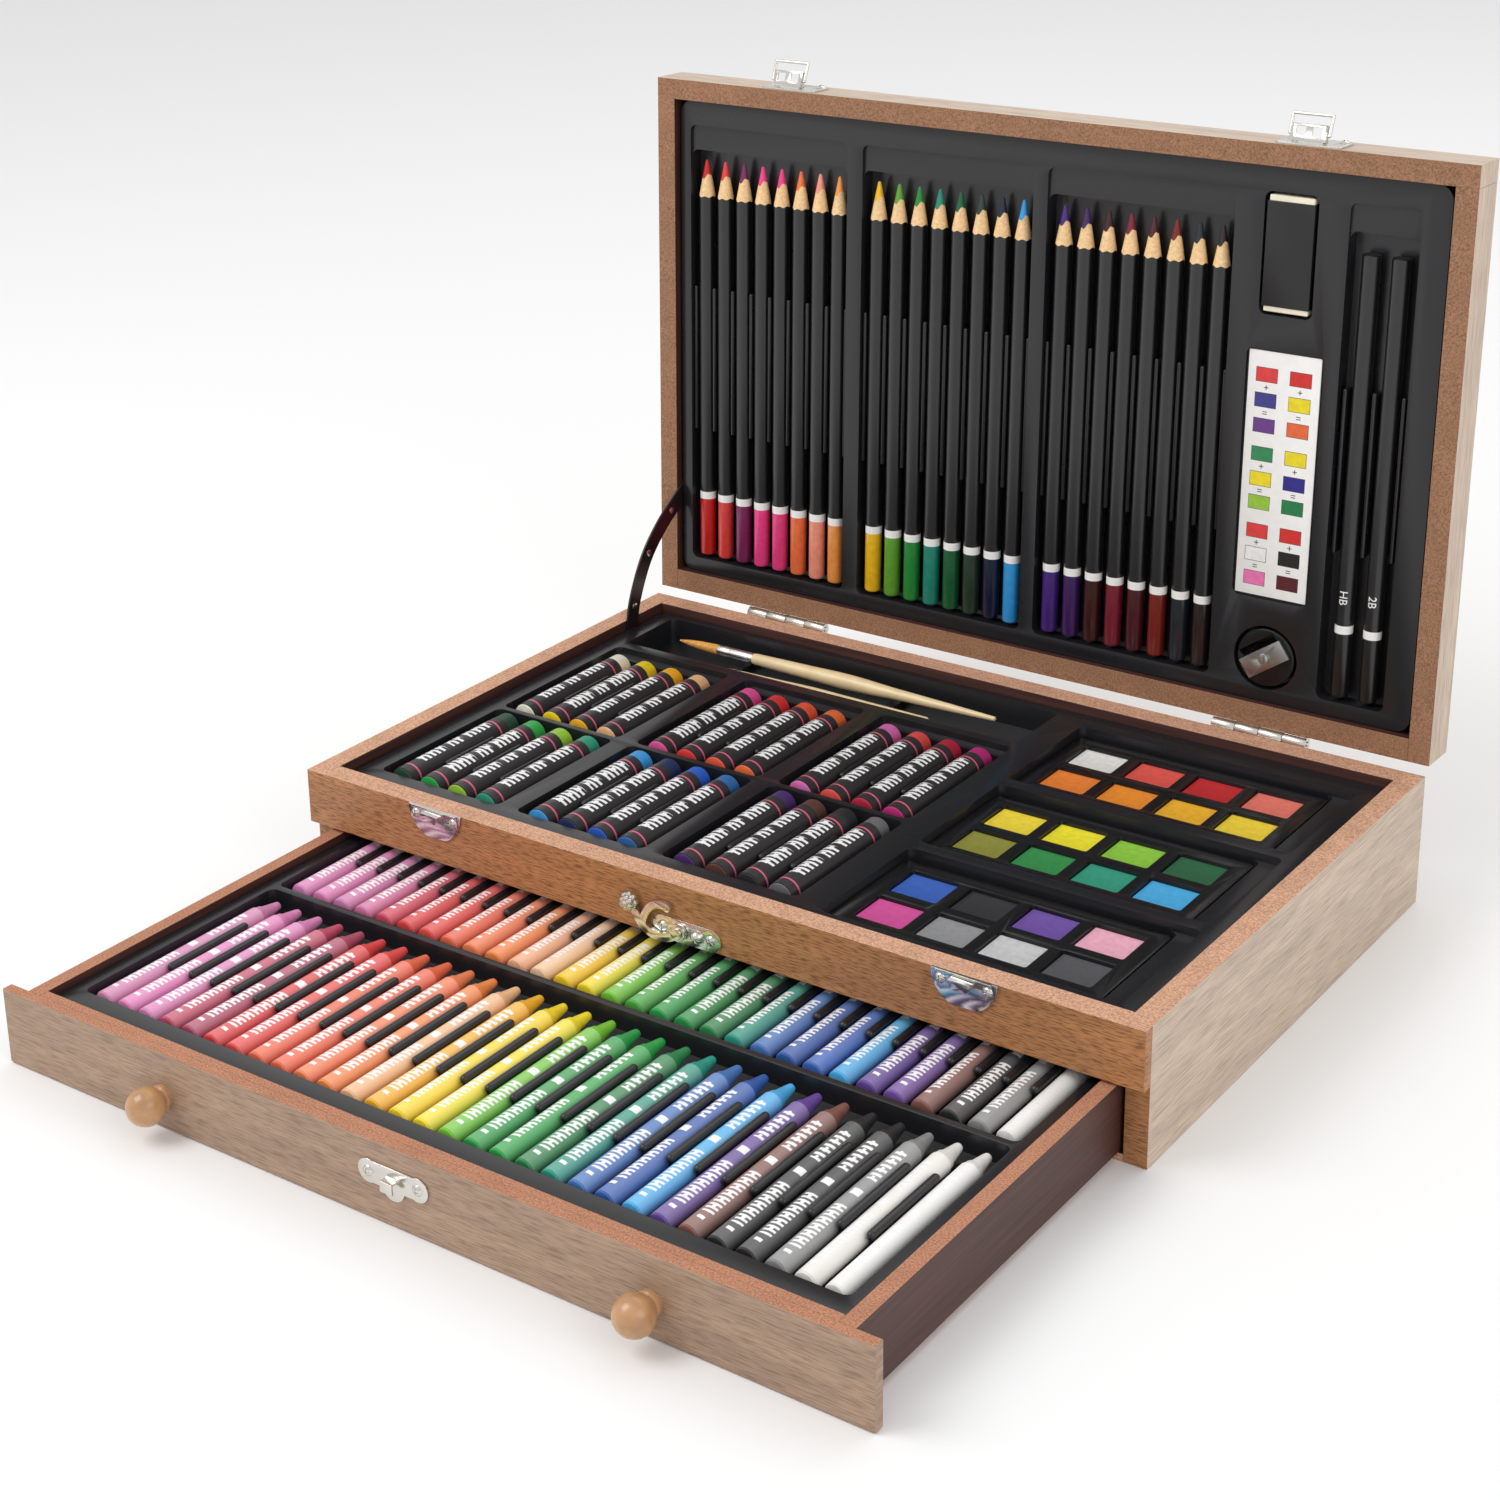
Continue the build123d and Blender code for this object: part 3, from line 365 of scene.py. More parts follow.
def dressed(node, material, edge, segments=2):
    """Copy of a CAD node with merged faces and its sharp edges rounded, under its own finish."""
    bm = bmesh.new()
    bm.from_mesh(NODES[node].data)
    bmesh.ops.remove_doubles(bm, verts=bm.verts, dist=0.00002)
    bmesh.ops.dissolve_limit(bm, angle_limit=radians(0.6), verts=bm.verts, edges=bm.edges)
    obj = from_bmesh(node + "_dressed", bm, [material])
    bevel = obj.modifiers.new("edge", "BEVEL")
    bevel.width, bevel.segments, bevel.limit_method = edge * MM, segments, "ANGLE"
    bevel.angle_limit, bevel.harden_normals, bevel.use_clamp_overlap = radians(35), True, True
    return settle(obj)


def board(name, node, place, finishes, edge):
    """Board from a CAD node's box. A grain attribute in millimetres runs along its longest side."""
    low, high = shut_box(node, place)
    size = high - low
    bm = bmesh.new()
    bmesh.ops.create_cube(bm, size=1.0)
    bmesh.ops.transform(bm, verts=bm.verts, matrix=Matrix.Translation((low + high) / 2) @ Matrix.Diagonal((*size, 1)))
    materials = list(dict.fromkeys(finishes))
    for face in bm.faces:
        axis = max(range(3), key=lambda i: abs(face.normal[i]))
        face.material_index = materials.index(finishes[axis * 2 + (face.normal[axis] > 0)])
    bmesh.ops.bevel(bm, geom=list(bm.edges), offset=edge * MM, segments=2, profile=0.6, affect="EDGES", material=-1)
    grain = bm.loops.layers.uv.new("grain")
    long_axis = max(range(3), key=lambda i: size[i])
    for face in bm.faces:
        axis = max(range(3), key=lambda i: abs(face.normal[i]))
        across = next(i for i in (2, 1, 0) if i not in (axis, long_axis))
        u_axis = long_axis if axis != long_axis else next(i for i in range(3) if i not in (axis, across))
        for loop in face.loops:
            co = loop.vert.co
            loop[grain].uv = (co[u_axis] / MM, co[across] / MM + 37.0 * axis)
    bm.transform(place)
    return from_bmesh(name, bm, materials, smooth=False)


def spun(name, stations, material, sides=20, start=0.0):
    """Closed body of rings along +Y. A station is (y, radius) in mm; either may be a function of the angle.

    along_around keeps the millimetres along the stick and the turn about it, 0.5 on top.
    """
    bm = bmesh.new()
    layer = bm.loops.layers.uv.new("along_around")
    rings = []
    for y, radius in stations:
        ring = []
        for i in range(sides):
            angle = 2 * pi * i / sides - pi / 2
            y_here = y(angle) if callable(y) else y
            r_here = radius(angle) if callable(radius) else radius
            ring.append(bm.verts.new((r_here * cos(angle) * MM, y_here * MM, r_here * sin(angle) * MM)))
        rings.append(ring)
    for a, b in zip(rings, rings[1:]):
        for i in range(sides):
            j = (i + 1) % sides
            face = bm.faces.new((a[i], b[i], b[j], a[j]))
            turns = (i / sides, i / sides, (i + 1) / sides, (i + 1) / sides)
            for loop, turn in zip(face.loops, turns):
                loop[layer].uv = (loop.vert.co.y / MM + start, turn)
    bm.faces.new(rings[0])
    bm.faces.new(list(reversed(rings[-1])))
    bmesh.ops.recalc_face_normals(bm, faces=bm.faces)
    obj = from_bmesh(name, bm, [material])
    obj.data.set_sharp_from_angle(angle=radians(40))
    return obj


# ---- Geometry Nodes: one piece repeated on points ------------------------------------------------
def repeat_tree():
    """Puts one piece on every point, rolls it a little about its length and makes it real."""
    tree = bpy.data.node_groups.new("pieces on points", "GeometryNodeTree")
    for name, kind in (("Geometry", "Geometry"), ("Piece", "Object"), ("Finish", "Material"), ("Roll", "Float"),
                       ("Seed", "Int")):
        tree.interface.new_socket(name, in_out="INPUT", socket_type="NodeSocket" + kind)
    tree.interface.new_socket("Geometry", in_out="OUTPUT", socket_type="NodeSocketGeometry")
    given = add(tree, "NodeGroupInput")
    piece = add(tree, "GeometryNodeObjectInfo", {"Object": given.outputs["Piece"]})
    less = add(tree, "ShaderNodeMath", operation="MULTIPLY")
    tree.links.new(given.outputs["Roll"], less.inputs[0])
    less.inputs[1].default_value = -1.0
    low = add(tree, "ShaderNodeCombineXYZ", {"Y": less.outputs[0]})
    high = add(tree, "ShaderNodeCombineXYZ", {"Y": given.outputs["Roll"]})
    roll = add(tree, "FunctionNodeRandomValue", data_type="FLOAT_VECTOR")
    tree.links.new(low.outputs[0], roll.inputs[0])
    tree.links.new(high.outputs[0], roll.inputs[1])
    tree.links.new(given.outputs["Seed"], roll.inputs["Seed"])
    placed = add(tree, "GeometryNodeInstanceOnPoints",
                 {"Points": given.outputs["Geometry"], "Instance": piece.outputs["Geometry"],
                  "Rotation": roll.outputs[0]})
    real = add(tree, "GeometryNodeRealizeInstances", {"Geometry": placed.outputs[0]})
    finish = add(tree, "GeometryNodeSetMaterial",
                 {"Geometry": real.outputs[0], "Material": given.outputs["Finish"]})
    add(tree, "NodeGroupOutput", {"Geometry": finish.outputs[0]})
    return tree


def socket_id(tree, name):
    return next(s.identifier for s in tree.interface.items_tree if s.name == name and s.in_out == "INPUT")


def repeated(name, piece, points, material, place=CASE, colours=None, roll=0.0, seed=1):
    """One mesh with the piece on every point (metres, shut frame), each with its own paint colour."""
    mesh = bpy.data.meshes.new(name)
    mesh.from_pydata([tuple(p) for p in points], [], [])
    if colours:
        paint = mesh.attributes.new("paint", "FLOAT_COLOR", "POINT")
        for item, colour in zip(paint.data, colours):
            item.color = colour
    host = bpy.data.objects.new(name, mesh)
    tree = bpy.data.node_groups.get("pieces on points") or repeat_tree()
    modifier = host.modifiers.new("repeat", "NODES")
    modifier.node_group = tree
    for socket, value in (("Piece", piece), ("Finish", material), ("Roll", roll), ("Seed", seed)):
        modifier[socket_id(tree, socket)] = value
    link(host)
    settle(host)
    host.data.transform(place)
    host.data.update()
    return host


def drop(template):
    bpy.data.objects.remove(template, do_unlink=True)


def spread(name, template, points, material, body, nodes=(), slot=None, **choices):
    """Repeats a template on the points, removes the template and puts the piece on its body."""
    piece = repeated(name, template, points, material, **choices)
    drop(template)
    return join_body(piece, body, *nodes, slot=slot)


def face_points(boxes, back=False):
    """Middle of each box's front face, or of its back face."""
    return [Vector(((a.x + b.x) / 2, b.y if back else a.y, (a.z + b.z) / 2)) for a, b in boxes]


def stick_size(box):
    """Radius and length in millimetres of a stick that lies along Y."""
    low, high = box
    return (high.x - low.x) / 2 / MM, (high.y - low.y) / MM


# ---- colours of the sticks -----------------------------------------------------------------------
PENCIL_COLOURS = [
    "#c8201e #e0403c #7a2058 #f0408a #ee3f86 #f37440 #f79a82 #f59a4a".split(),
    "#f5be18 #5fa22e #1e8a38 #1c8a74 #0e5e35 #243a2c #0f1a36 #2f9be0".split(),
    "#45217a #3d1a5e #3a1414 #7a1a2e #4a1420 #7a1e16 #1b242c #231a1c".split(),
]
CRAYON_FRONT = """#d68bb5 #e58abf #e08cc0 #c8506e #b4506e #e0474a #e8544f #ee7050 #f07050 #f4885a
#f5904e #f5c090 #f8b82e #fbdc28 #fce32e #7cc93a #2fa350 #2fa94f #2d8a50 #2e9e8a
#4a7cc0 #3562b0 #4fb4ec #6a4a9e #8a5a50 #2a2a2c #2a2a2c #8e8e8e #eeeae4 #f2f0ec""".split()
CRAYON_BACK = """#e08cc0 #e58abf #d887b8 #dd7fae #d8506a #e0474a #e8544f #ee7050 #f4885a #f5904e
#f5b890 #f8cfa8 #fbd028 #fce32e #7cc93a #4fae46 #2fa350 #2d9a50 #2d8a50 #2e9e8a
#4a7cc0 #3562b0 #3f6cc0 #4fb4ec #6a4a9e #7a54a8 #8a5a50 #2a2a2c #8e8e8e #f2f0ec""".split()
PASTEL_BACK = "#f2ecd8 #f4d41c #f5b21c #f2bc8c #e8559a #e03434 #ee5a3c #f0703c #e070b8 #e8504c #b81e3c #c02878".split()
PASTEL_FRONT = "#1e4a34 #2fa84c #9acc3c #2f9a7c #3f9fe4 #1f2f5c #2760c8 #2f6cae #4a2a6e #5e3a30 #26262a #6e6e72".split()
CAKE_COLOURS = [
    "#f0eee8 #e85a50 #c8282c #ec7a6a #f08430 #f29028 #f2b428 #f4d438".split(),
    "#f2d838 #f0e428 #8cc83c #22603c #8a8a34 #2c8a44 #2a9678 #44a8dc".split(),
    "#2f5cb4 #26262a #6a4a9e #e8a8bc #cc4a94 #8c8c8e #c4c4c4 #4c4c50".split(),
]


# ---- settings and shared finishes --------------------------------------------------------------
def wrap_colour(name, description, code):
    return FloatVectorProperty(name=name, description=description, subtype="COLOR", size=4, min=0, max=1,
                               default=linear(code))


class ArtCaseSettings(bpy.types.PropertyGroup):
    """Colours and edge roundings of the art case; the roundings are in millimetres."""

    front_wrap: wrap_colour("Front wrap", "Printed beech on the upper front", "#b67f52")
    drawer_wrap: wrap_colour("Drawer wrap", "Printed beech on the drawer front", "#a98d76")
    side_wrap: wrap_colour("Side wrap", "Printed beech on the sides, back and lid", "#cdb8a4")
    inner_wrap: wrap_colour("Inner wrap", "Dark paper inside the boards", "#4a2a24")
    sawn_edge: wrap_colour("Sawn edge", "Bare fibreboard on the case rims", "#d0a184")
    lid_edge: wrap_colour("Lid edge", "Bare fibreboard on the lid rim", "#9b7358")
    drawer_edge: wrap_colour("Drawer edge", "Bare fibreboard on the drawer rims", "#b88266")
    tray_black: wrap_colour("Tray", "Formed plastic trays", "#1d1d20")
    board_edge: FloatProperty(name="Board edge", description="Rounding of the board edges", default=0.3, min=0.05,
                              max=0.3)
    tray_edge: FloatProperty(name="Tray edge", description="Rounding of the formed tray edges", default=0.45,
                             min=0.05, max=0.49)
    roll_seed: IntProperty(name="Roll seed", description="Seed for how the sticks lie", default=7, min=0)


def settings():
    return bpy.context.scene.art_case


FINISHES = {}


def finish(name, maker, *values, **named):
    """One shared material for each finish."""
    if name not in FINISHES:
        FINISHES[name] = maker(name, *values, **named)
    return FINISHES[name]


def sawn():
    return finish("fibreboard_sawn_edge", fibreboard, list(settings().sawn_edge))


def lid_sawn():
    return finish("fibreboard_lid_rim", fibreboard, list(settings().lid_edge))


def drawer_sawn():
    return finish("fibreboard_drawer_rim", fibreboard, list(settings().drawer_edge))


def front_wrap():
    return finish("beech_print_front", beech_wrap, list(settings().front_wrap), 5.0, 0.62)


def drawer_wrap():
    return finish("beech_print_drawer", beech_wrap, list(settings().drawer_wrap), 9.0, 0.4)


def side_wrap():
    return finish("beech_print_sides", beech_wrap, list(settings().side_wrap), 16.0, 0.34)


def inner_wrap():
    return finish("dark_paper_inside", dark_wrap, list(settings().inner_wrap))


def tray_sheet():
    return finish("formed_polystyrene_black", formed_sheet, list(settings().tray_black), 0.27)


def bright_nickel():
    return finish("nickel_plated_steel", nickel, linear("#d9d6cf"), 0.16)


# ---- pieces, one operator for each group ---------------------------------------------------------
class ArtCaseOperator:
    """What every piece operator shares."""

    bl_options = {"REGISTER", "UNDO"}

    def execute(self, context):
        self.build()
        return {"FINISHED"}


def wrapped_boards(body, place, plans):
    """plans gives each board's node and the finish of its sides: -x +x -y +y -z +z."""
    for node, finishes in plans:
        join_body(board(node + "_wrapped", node, place, finishes, settings().board_edge), body, node)


class ARTCASE_OT_carcass(ArtCaseOperator, bpy.types.Operator):
    """Builds the carcass boards with wrapped faces and sawn rims"""

    bl_idname = "artcase.carcass"
    bl_label = "Carcass boards"

    def build(self):
        rim, side, dark, front = sawn(), side_wrap(), inner_wrap(), front_wrap()
        wrapped_boards("case", CASE, [
            ("side_board_left", (side, dark, front, side, rim, rim)),
            ("side_board_right", (dark, side, front, side, rim, rim)),
            ("back_board", (rim, rim, dark, side, rim, rim)),
            ("upper_front_panel", (front, front, front, rim, rim, rim)),
            ("upper_front_rail", (rim, rim, rim, dark, dark, rim)),
            ("shelf_panel", (rim, rim, rim, rim, dark, dark)),
            ("bottom_panel", (rim, rim, rim, rim, rim, dark)),
        ])


class ARTCASE_OT_lid_boards(ArtCaseOperator, bpy.types.Operator):
    """Builds the lid frame and its outer panel"""

    bl_idname = "artcase.lid_boards"
    bl_label = "Lid boards"

    def build(self):
        rim, side, dark = lid_sawn(), side_wrap(), inner_wrap()
        wrapped_boards("lid", LID, [
            ("lid_front_board", (side, side, side, dark, rim, side)),
            ("lid_back_board", (rim, rim, dark, side, rim, side)),
            ("lid_side_left", (side, dark, side, side, rim, side)),
            ("lid_side_right", (dark, side, side, side, rim, side)),
            ("lid_panel", (rim, rim, rim, rim, dark, side)),
        ])


class ARTCASE_OT_drawer_boards(ArtCaseOperator, bpy.types.Operator):
    """Builds the drawer box and its front"""

    bl_idname = "artcase.drawer_boards"
    bl_label = "Drawer boards"

    def build(self):
        rim, dark, front = drawer_sawn(), inner_wrap(), drawer_wrap()
        wrapped_boards("drawer", DRAWER, [
            ("drawer_front", (front, front, front, rim, rim, rim)),
            ("drawer_inner_front", (rim, rim, rim, dark, rim, rim)),
            ("drawer_side_left", (dark, dark, rim, rim, rim, rim)),
            ("drawer_side_right", (dark, dark, rim, rim, rim, rim)),
            ("drawer_back", (rim, rim, dark, dark, rim, rim)),
            ("drawer_bottom", (rim, rim, rim, rim, rim, dark)),
        ])


class ARTCASE_OT_trays(ArtCaseOperator, bpy.types.Operator):
    """Builds the three formed trays and the paint palettes"""

    bl_idname = "artcase.trays"
    bl_label = "Formed trays"

    def build(self):
        edge = settings().tray_edge
        for node, body in (("upper_tray", "case"), ("lid_tray", "lid"), ("drawer_tray", "drawer")):
            join_body(dressed(node, tray_sheet(), edge, 3), body, node, slot="black_formed_sheet")
        palette = finish("moulded_polystyrene_palette", formed_sheet, linear("#161618"), 0.22)
        join_body(dressed("paint_palettes", palette, 0.4, 2), "case", "paint_palettes", slot="black_formed_sheet")


class ARTCASE_OT_pencils(ArtCaseOperator, bpy.types.Operator):
    """Builds the coloured and graphite pencils in the lid"""

    bl_idname = "artcase.pencils"
    bl_label = "Pencils"

    tip_radius, cone_length, lead_length = 0.7, 16.0, 7.2
    band_start, band_end = 27.0, 30.4
    letter_size, letter_drop, letter_strip = 4.6, 45.0, 0.35

    def build(self):
        black = finish("pencil_lacquer_black", plain, linear("#141416"), 0.34, 300.0, 0.03, 0.1, 0.35)
        white = finish("pencil_lacquer_white", plain, linear("#f4f3f0"), 0.35, 300.0, 0.02, 0.03, 0.4)
        ends = finish("pencil_lacquer_coloured", coloured, 0.28, 0.02, 0.5)
        wood = finish("basswood_sharpened", plain, linear("#efc893"), 0.65, 900.0, 0.25, 0.14)
        lead = finish("pencil_core_pigment", coloured, 0.6, 0.2)
        nodes = ("pencils_left", "pencils_middle", "pencils_right")
        boxes = [box for node in nodes for box in self.places(node)]
        colours = [linear(code) for group in PENCIL_COLOURS for code in group]
        radius, length = stick_size(boxes[0])
        taper = (radius - self.tip_radius) / self.cone_length
        cut = lambda angle: length - self.cone_length + 0.35 * sin(6 * angle)
        lead_base = lambda angle: length - self.lead_length + 1.1 * sin(2 * angle + 0.6) + 0.3 * sin(5 * angle)
        lead_wide = lambda angle: radius - taper * (lead_base(angle) - length + self.cone_length)
        cut_wide = lambda angle: radius - taper * max(0.0, cut(angle) - length + self.cone_length)
        parts = [
            ("ends", ends, self.end_stations(radius)),
            ("bands", white, self.band_stations(radius)),
            ("barrels", black, [(self.band_end, radius), (cut, radius)]),
            ("cones", wood, [(cut, cut_wide), (lead_base, lead_wide)]),
            ("cores", lead, [(lead_base, lead_wide), (length - 0.5, self.tip_radius), (length, 0.3)]),
        ]
        self.sticks("coloured_pencil", boxes, parts, colours, nodes, "pencil_lacquer", 7.0)
        boxes = self.places("graphite_pencils")
        radius, length = stick_size(boxes[0])
        parts = [
            ("ends", black, self.end_stations(radius)),
            ("bands", white, self.band_stations(radius)),
            ("barrels", black, [(self.band_end, radius), (length - 0.3, radius), (length, radius - 0.3)]),
        ]
        self.sticks("graphite_pencil", boxes, parts, None, ("graphite_pencils",), "pencil_black", 0.0)
        self.grades(boxes, radius, white)

    def places(self, node):
        return sorted(solid_boxes(node, LID), key=lambda b: b[0].x)

    def end_stations(self, radius):
        return [(0, radius - 1.0), (0.4, radius - 0.3), (1.2, radius), (self.band_start, radius)]

    def band_stations(self, radius):
        return [(self.band_start, radius), (self.band_start, radius + 0.02), (self.band_end, radius + 0.02),
                (self.band_end, radius)]

    def sticks(self, name, boxes, parts, colours, nodes, slot, roll):
        """Each finish is one mesh of rings repeated on the pencils' places; a stick points up the open lid."""
        for part, material, stations in parts:
            template = spun(part, stations, material, sides=28)
            template.data.transform(Matrix.Rotation(pi, 4, "Z"))
            spread(f"{name}_{part}", template, face_points(boxes, back=True), material, "lid",
                   nodes if part == "barrels" else (), slot, place=LID, colours=colours, roll=radians(roll),
                   seed=settings().roll_seed)

    def grades(self, boxes, radius, material):
        """Hardness grades, the usual letters for any graphite pencil, on the barrels above the bands."""
        for (low, high), text in zip(boxes, ("HB", "2B")):
            curve = bpy.data.curves.new("grade", "FONT")
            curve.body, curve.size, curve.extrude = text, self.letter_size * MM, 0.02 * MM
            curve.align_x, curve.align_y = "LEFT", "CENTER"
            label = link(bpy.data.objects.new(f"grade_{text}", curve))
            graph = bpy.context.evaluated_depsgraph_get()
            mesh = bpy.data.meshes.new_from_object(label.evaluated_get(graph))
            drop(label)
            mesh.materials.clear()
            mesh.materials.append(material)
            self.sliced(mesh)
            obj = link(bpy.data.objects.new(f"grade_{text}", mesh))
            # Letters read down the open lid; in the shut lid they face down.
            spot = Vector(((low.x + high.x) / 2, high.y - self.letter_drop * MM, low.z - 0.01 * MM))
            turn = Matrix(((0, 1, 0), (1, 0, 0), (0, 0, -1))).to_4x4()
            mesh.transform(LID @ Matrix.Translation(spot) @ turn)
            for vert in mesh.vertices:
                local = LID.inverted() @ vert.co
                across = local.x - spot.x
                local.z += radius * MM - (max(0.0, (radius * MM) ** 2 - across**2)) ** 0.5
                vert.co = LID @ local
            join_body(obj, "lid", slot="pencil_black")


    def sliced(self, mesh):
        """Cuts flat letters into low strips, so that they can follow the barrel."""
        bm = bmesh.new()
        bm.from_mesh(mesh)
        for step in range(-6, 7):
            geom = bm.verts[:] + bm.edges[:] + bm.faces[:]
            bmesh.ops.bisect_plane(bm, geom=geom, plane_co=(0, step * self.letter_strip * MM, 0),
                                   plane_no=(0, 1, 0))
        bm.to_mesh(mesh)
        bm.free()


class ARTCASE_OT_crayons(ArtCaseOperator, bpy.types.Operator):
    """Builds both rows of wrapped wax crayons"""

    bl_idname = "artcase.crayons"
    bl_label = "Crayons"

    wrap_start, wrap_end, shoulder = 0.9, 78.0, 80.6

    def build(self):
        wax = finish("crayon_wax", coloured, 0.42, 0.08)
        ink = (0.93, 0.92, 0.92, 1)
        prints = [(6.0, 7.6, 0.05, 60.0, 1.1, ink), (10.0, 37.0, 0.085, 2.1, 0.5, ink),
                  (43.0, 46.5, 0.07, 60.0, 1.1, ink), (53.0, 72.0, 0.075, 2.9, 0.5, ink)]
        paper = finish("crayon_paper_sleeve", wrapper, None, prints)
        for row, codes in (("front", CRAYON_FRONT), ("back", CRAYON_BACK)):
            node = f"crayons_{row}_row"
            boxes = sorted(solid_boxes(node, DRAWER), key=lambda b: b[0].x)
            radius, length = stick_size(boxes[0])
            bare = radius - 0.12
            stick = spun("wax", [(0, bare - 0.7), (0.25, bare - 0.2), (0.8, bare), (self.wrap_end, bare),
                                 (self.wrap_end + 0.3, bare - 0.15), (self.shoulder, bare - 0.45),
                                 (self.shoulder + 0.8, bare - 1.0), (length - 1.4, 1.75), (length - 0.5, 1.5),
                                 (length, 0.9)], wax)
            sleeve = spun("sleeve", [(self.wrap_start, radius - 0.3), (self.wrap_start, radius),
                                     (self.wrap_end, radius), (self.wrap_end, radius - 0.3)], paper)
            lie = {"place": DRAWER, "colours": [linear(code) for code in codes], "roll": radians(16),
                   "seed": settings().roll_seed + len(row)}
            points = face_points(boxes)
            spread(f"crayon_sticks_{row}", stick, points, wax, "drawer", (node,), "crayon_wax", **lie)
            spread(f"crayon_sleeves_{row}", sleeve, points, paper, "drawer", (), "crayon_wax", **lie)


class ARTCASE_OT_pastels(ArtCaseOperator, bpy.types.Operator):
    """Builds the thick oil pastels in their black paper sleeves"""

    bl_idname = "artcase.pastels"
    bl_label = "Oil pastels"

    sleeve_start, bare_end, ring_inset = 0.7, 7.2, 4.8

    def build(self):
        pigment = finish("oil_pastel_pigment", coloured, 0.5, 0.18)
        for row, codes in (("front", PASTEL_FRONT), ("back", PASTEL_BACK)):
            node = f"oil_pastels_{row}_row"
            boxes = sorted(solid_boxes(node), key=lambda b: b[0].x)
            radius, length = stick_size(boxes[0])
            end = length - self.bare_end
            white, pink = (0.88, 0.88, 0.88, 1), linear("#d9607c")
            prints = [(11.0, 26.0, 0.10, 2.8, 0.5, white), (29.0, 37.0, 0.10, 2.8, 0.5, white),
                      (39.5, 54.0, 0.10, 2.8, 0.5, white)]
            paper = finish("pastel_black_paper", wrapper, linear("#2a2628"), prints, pink,
                           (self.sleeve_start + self.ring_inset, end - self.ring_inset), 0.5)
            bare = radius - 0.2
            stick = spun("pigment", [(0, bare - 1.2), (0.3, bare - 0.3), (1.0, bare), (length - 1.2, bare),
                                     (length - 0.4, bare - 0.35), (length, bare - 1.2)], pigment, 24)
            sleeve = spun("sleeve", [(self.sleeve_start, radius - 0.4), (self.sleeve_start, radius), (end, radius),
                                     (end, radius - 0.4)], paper, 24)
            lie = {"colours": [linear(code) for code in codes], "roll": radians(14),
                   "seed": settings().roll_seed + 3}
            points = face_points(boxes)
            spread(f"pastel_sticks_{row}", stick, points, pigment, "case", (node,), "pastel_wrapped", **lie)
            spread(f"pastel_sleeves_{row}", sleeve, points, paper, "case", (), "pastel_wrapped", **lie)


class ARTCASE_OT_paints(ArtCaseOperator, bpy.types.Operator):
    """Builds the pressed paint cakes"""

    bl_idname = "artcase.paints"
    bl_label = "Paint cakes"

    edge, rim, dish = 0.8, 1.6, 0.5

    def build(self):
        cake = finish("pressed_watercolour", coloured, 0.62, 0.35)
        boxes = solid_boxes("paint_cakes")
        low, high = boxes[0]
        bm = bmesh.new()
        cuboid(bm, (high - low) / MM)
        bmesh.ops.bevel(bm, geom=list(bm.edges), offset=self.edge * MM, segments=3, profile=0.5, affect="EDGES")
        top = [f for f in bm.faces if f.normal.z > 0.99 and f.calc_area() > 1e-4]
        bmesh.ops.inset_region(bm, faces=top, thickness=self.rim * MM, depth=0)
        bmesh.ops.translate(bm, verts=list({v for f in top for v in f.verts}), vec=(0, 0, -self.dish * MM))
        template = from_bmesh("cake", bm, [cake])
        template.data.set_sharp_from_angle(angle=radians(50))
        rows = sorted(boxes, key=lambda b: (-round(b[0].y, 3), b[0].x))
        points = [(a + b) / 2 for a, b in rows]
        colours = [linear(code) for block in CAKE_COLOURS for code in block]
        spread("paint_cakes_pressed", template, points, cake, "case", ("paint_cakes",), "paint_cake",
               colours=colours)


class ARTCASE_OT_brushes(ArtCaseOperator, bpy.types.Operator):
    """Builds the two brushes in the trough"""

    bl_idname = "artcase.brushes"
    bl_label = "Brushes"

    # Degrees that each brush is turned by in the trough.
    tilts = {"brush_large": 0.0, "brush_small": 1.2}

    def build(self):
        hair = finish("golden_nylon_hair", plain, linear("#e0a04a"), 0.5, 900.0, 0.5, 0.25)
        ferrule = finish("aluminium_ferrule", nickel, linear("#e6e4e0"), 0.22)
        handle = finish("lacquered_birch_handle", plain, linear("#ecd2a2"), 0.35, 120.0, 0.05, 0.08, 0.4)
        along_x = Matrix.Rotation(-pi / 2, 4, "Z")
        plans = [
            ("brush_large", [(0, 0.4), (5, 1.3), (12, 2.0), (20, 2.3), (22, 2.3)],
             [(21.5, 2.3), (22, 2.5), (27, 2.5), (27.4, 2.35), (28, 2.5), (40, 2.5), (40.5, 2.3)],
             [(40, 2.3), (42, 2.6), (56, 2.9), (72, 3.2), (84, 3.5), (90, 3.55), (98, 3.3), (112, 2.6), (140, 1.8),
              (162.6, 1.0), (163, 0.5)]),
            ("brush_small", [(0, 0.25), (4, 0.7), (10, 1.1), (14, 1.15)],
             [(13.5, 1.15), (14, 1.25), (18, 1.25), (18.4, 1.15), (19, 1.25), (30, 1.25), (30.5, 1.1)],
             [(30, 1.1), (31, 1.4), (52, 1.6), (62, 1.85), (68, 1.95), (76, 1.8), (96, 1.4), (125, 0.9), (126, 0.4)]),
        ]
        for node, tip, collar, stick in plans:
            low, high = shut_box(node)
            tilt = radians(self.tilts[node])
            middle = (low + high) / 2
            origin = Vector((low.x, middle.y - sin(tilt) * (high.x - low.x) / 2, middle.z))
            place = Matrix.Translation(origin) @ Matrix.Rotation(tilt, 4, "Z") @ along_x
            parts = (("hair", tip, hair), ("ferrule", collar, ferrule), ("handle", stick, handle))
            for part, stations, material in parts:
                piece = spun(f"{node}_{part}", stations, material, 20)
                piece.data.transform(place)
                join_body(piece, "case", *((node,) if part == "handle" else ()), slot="brush_handle")


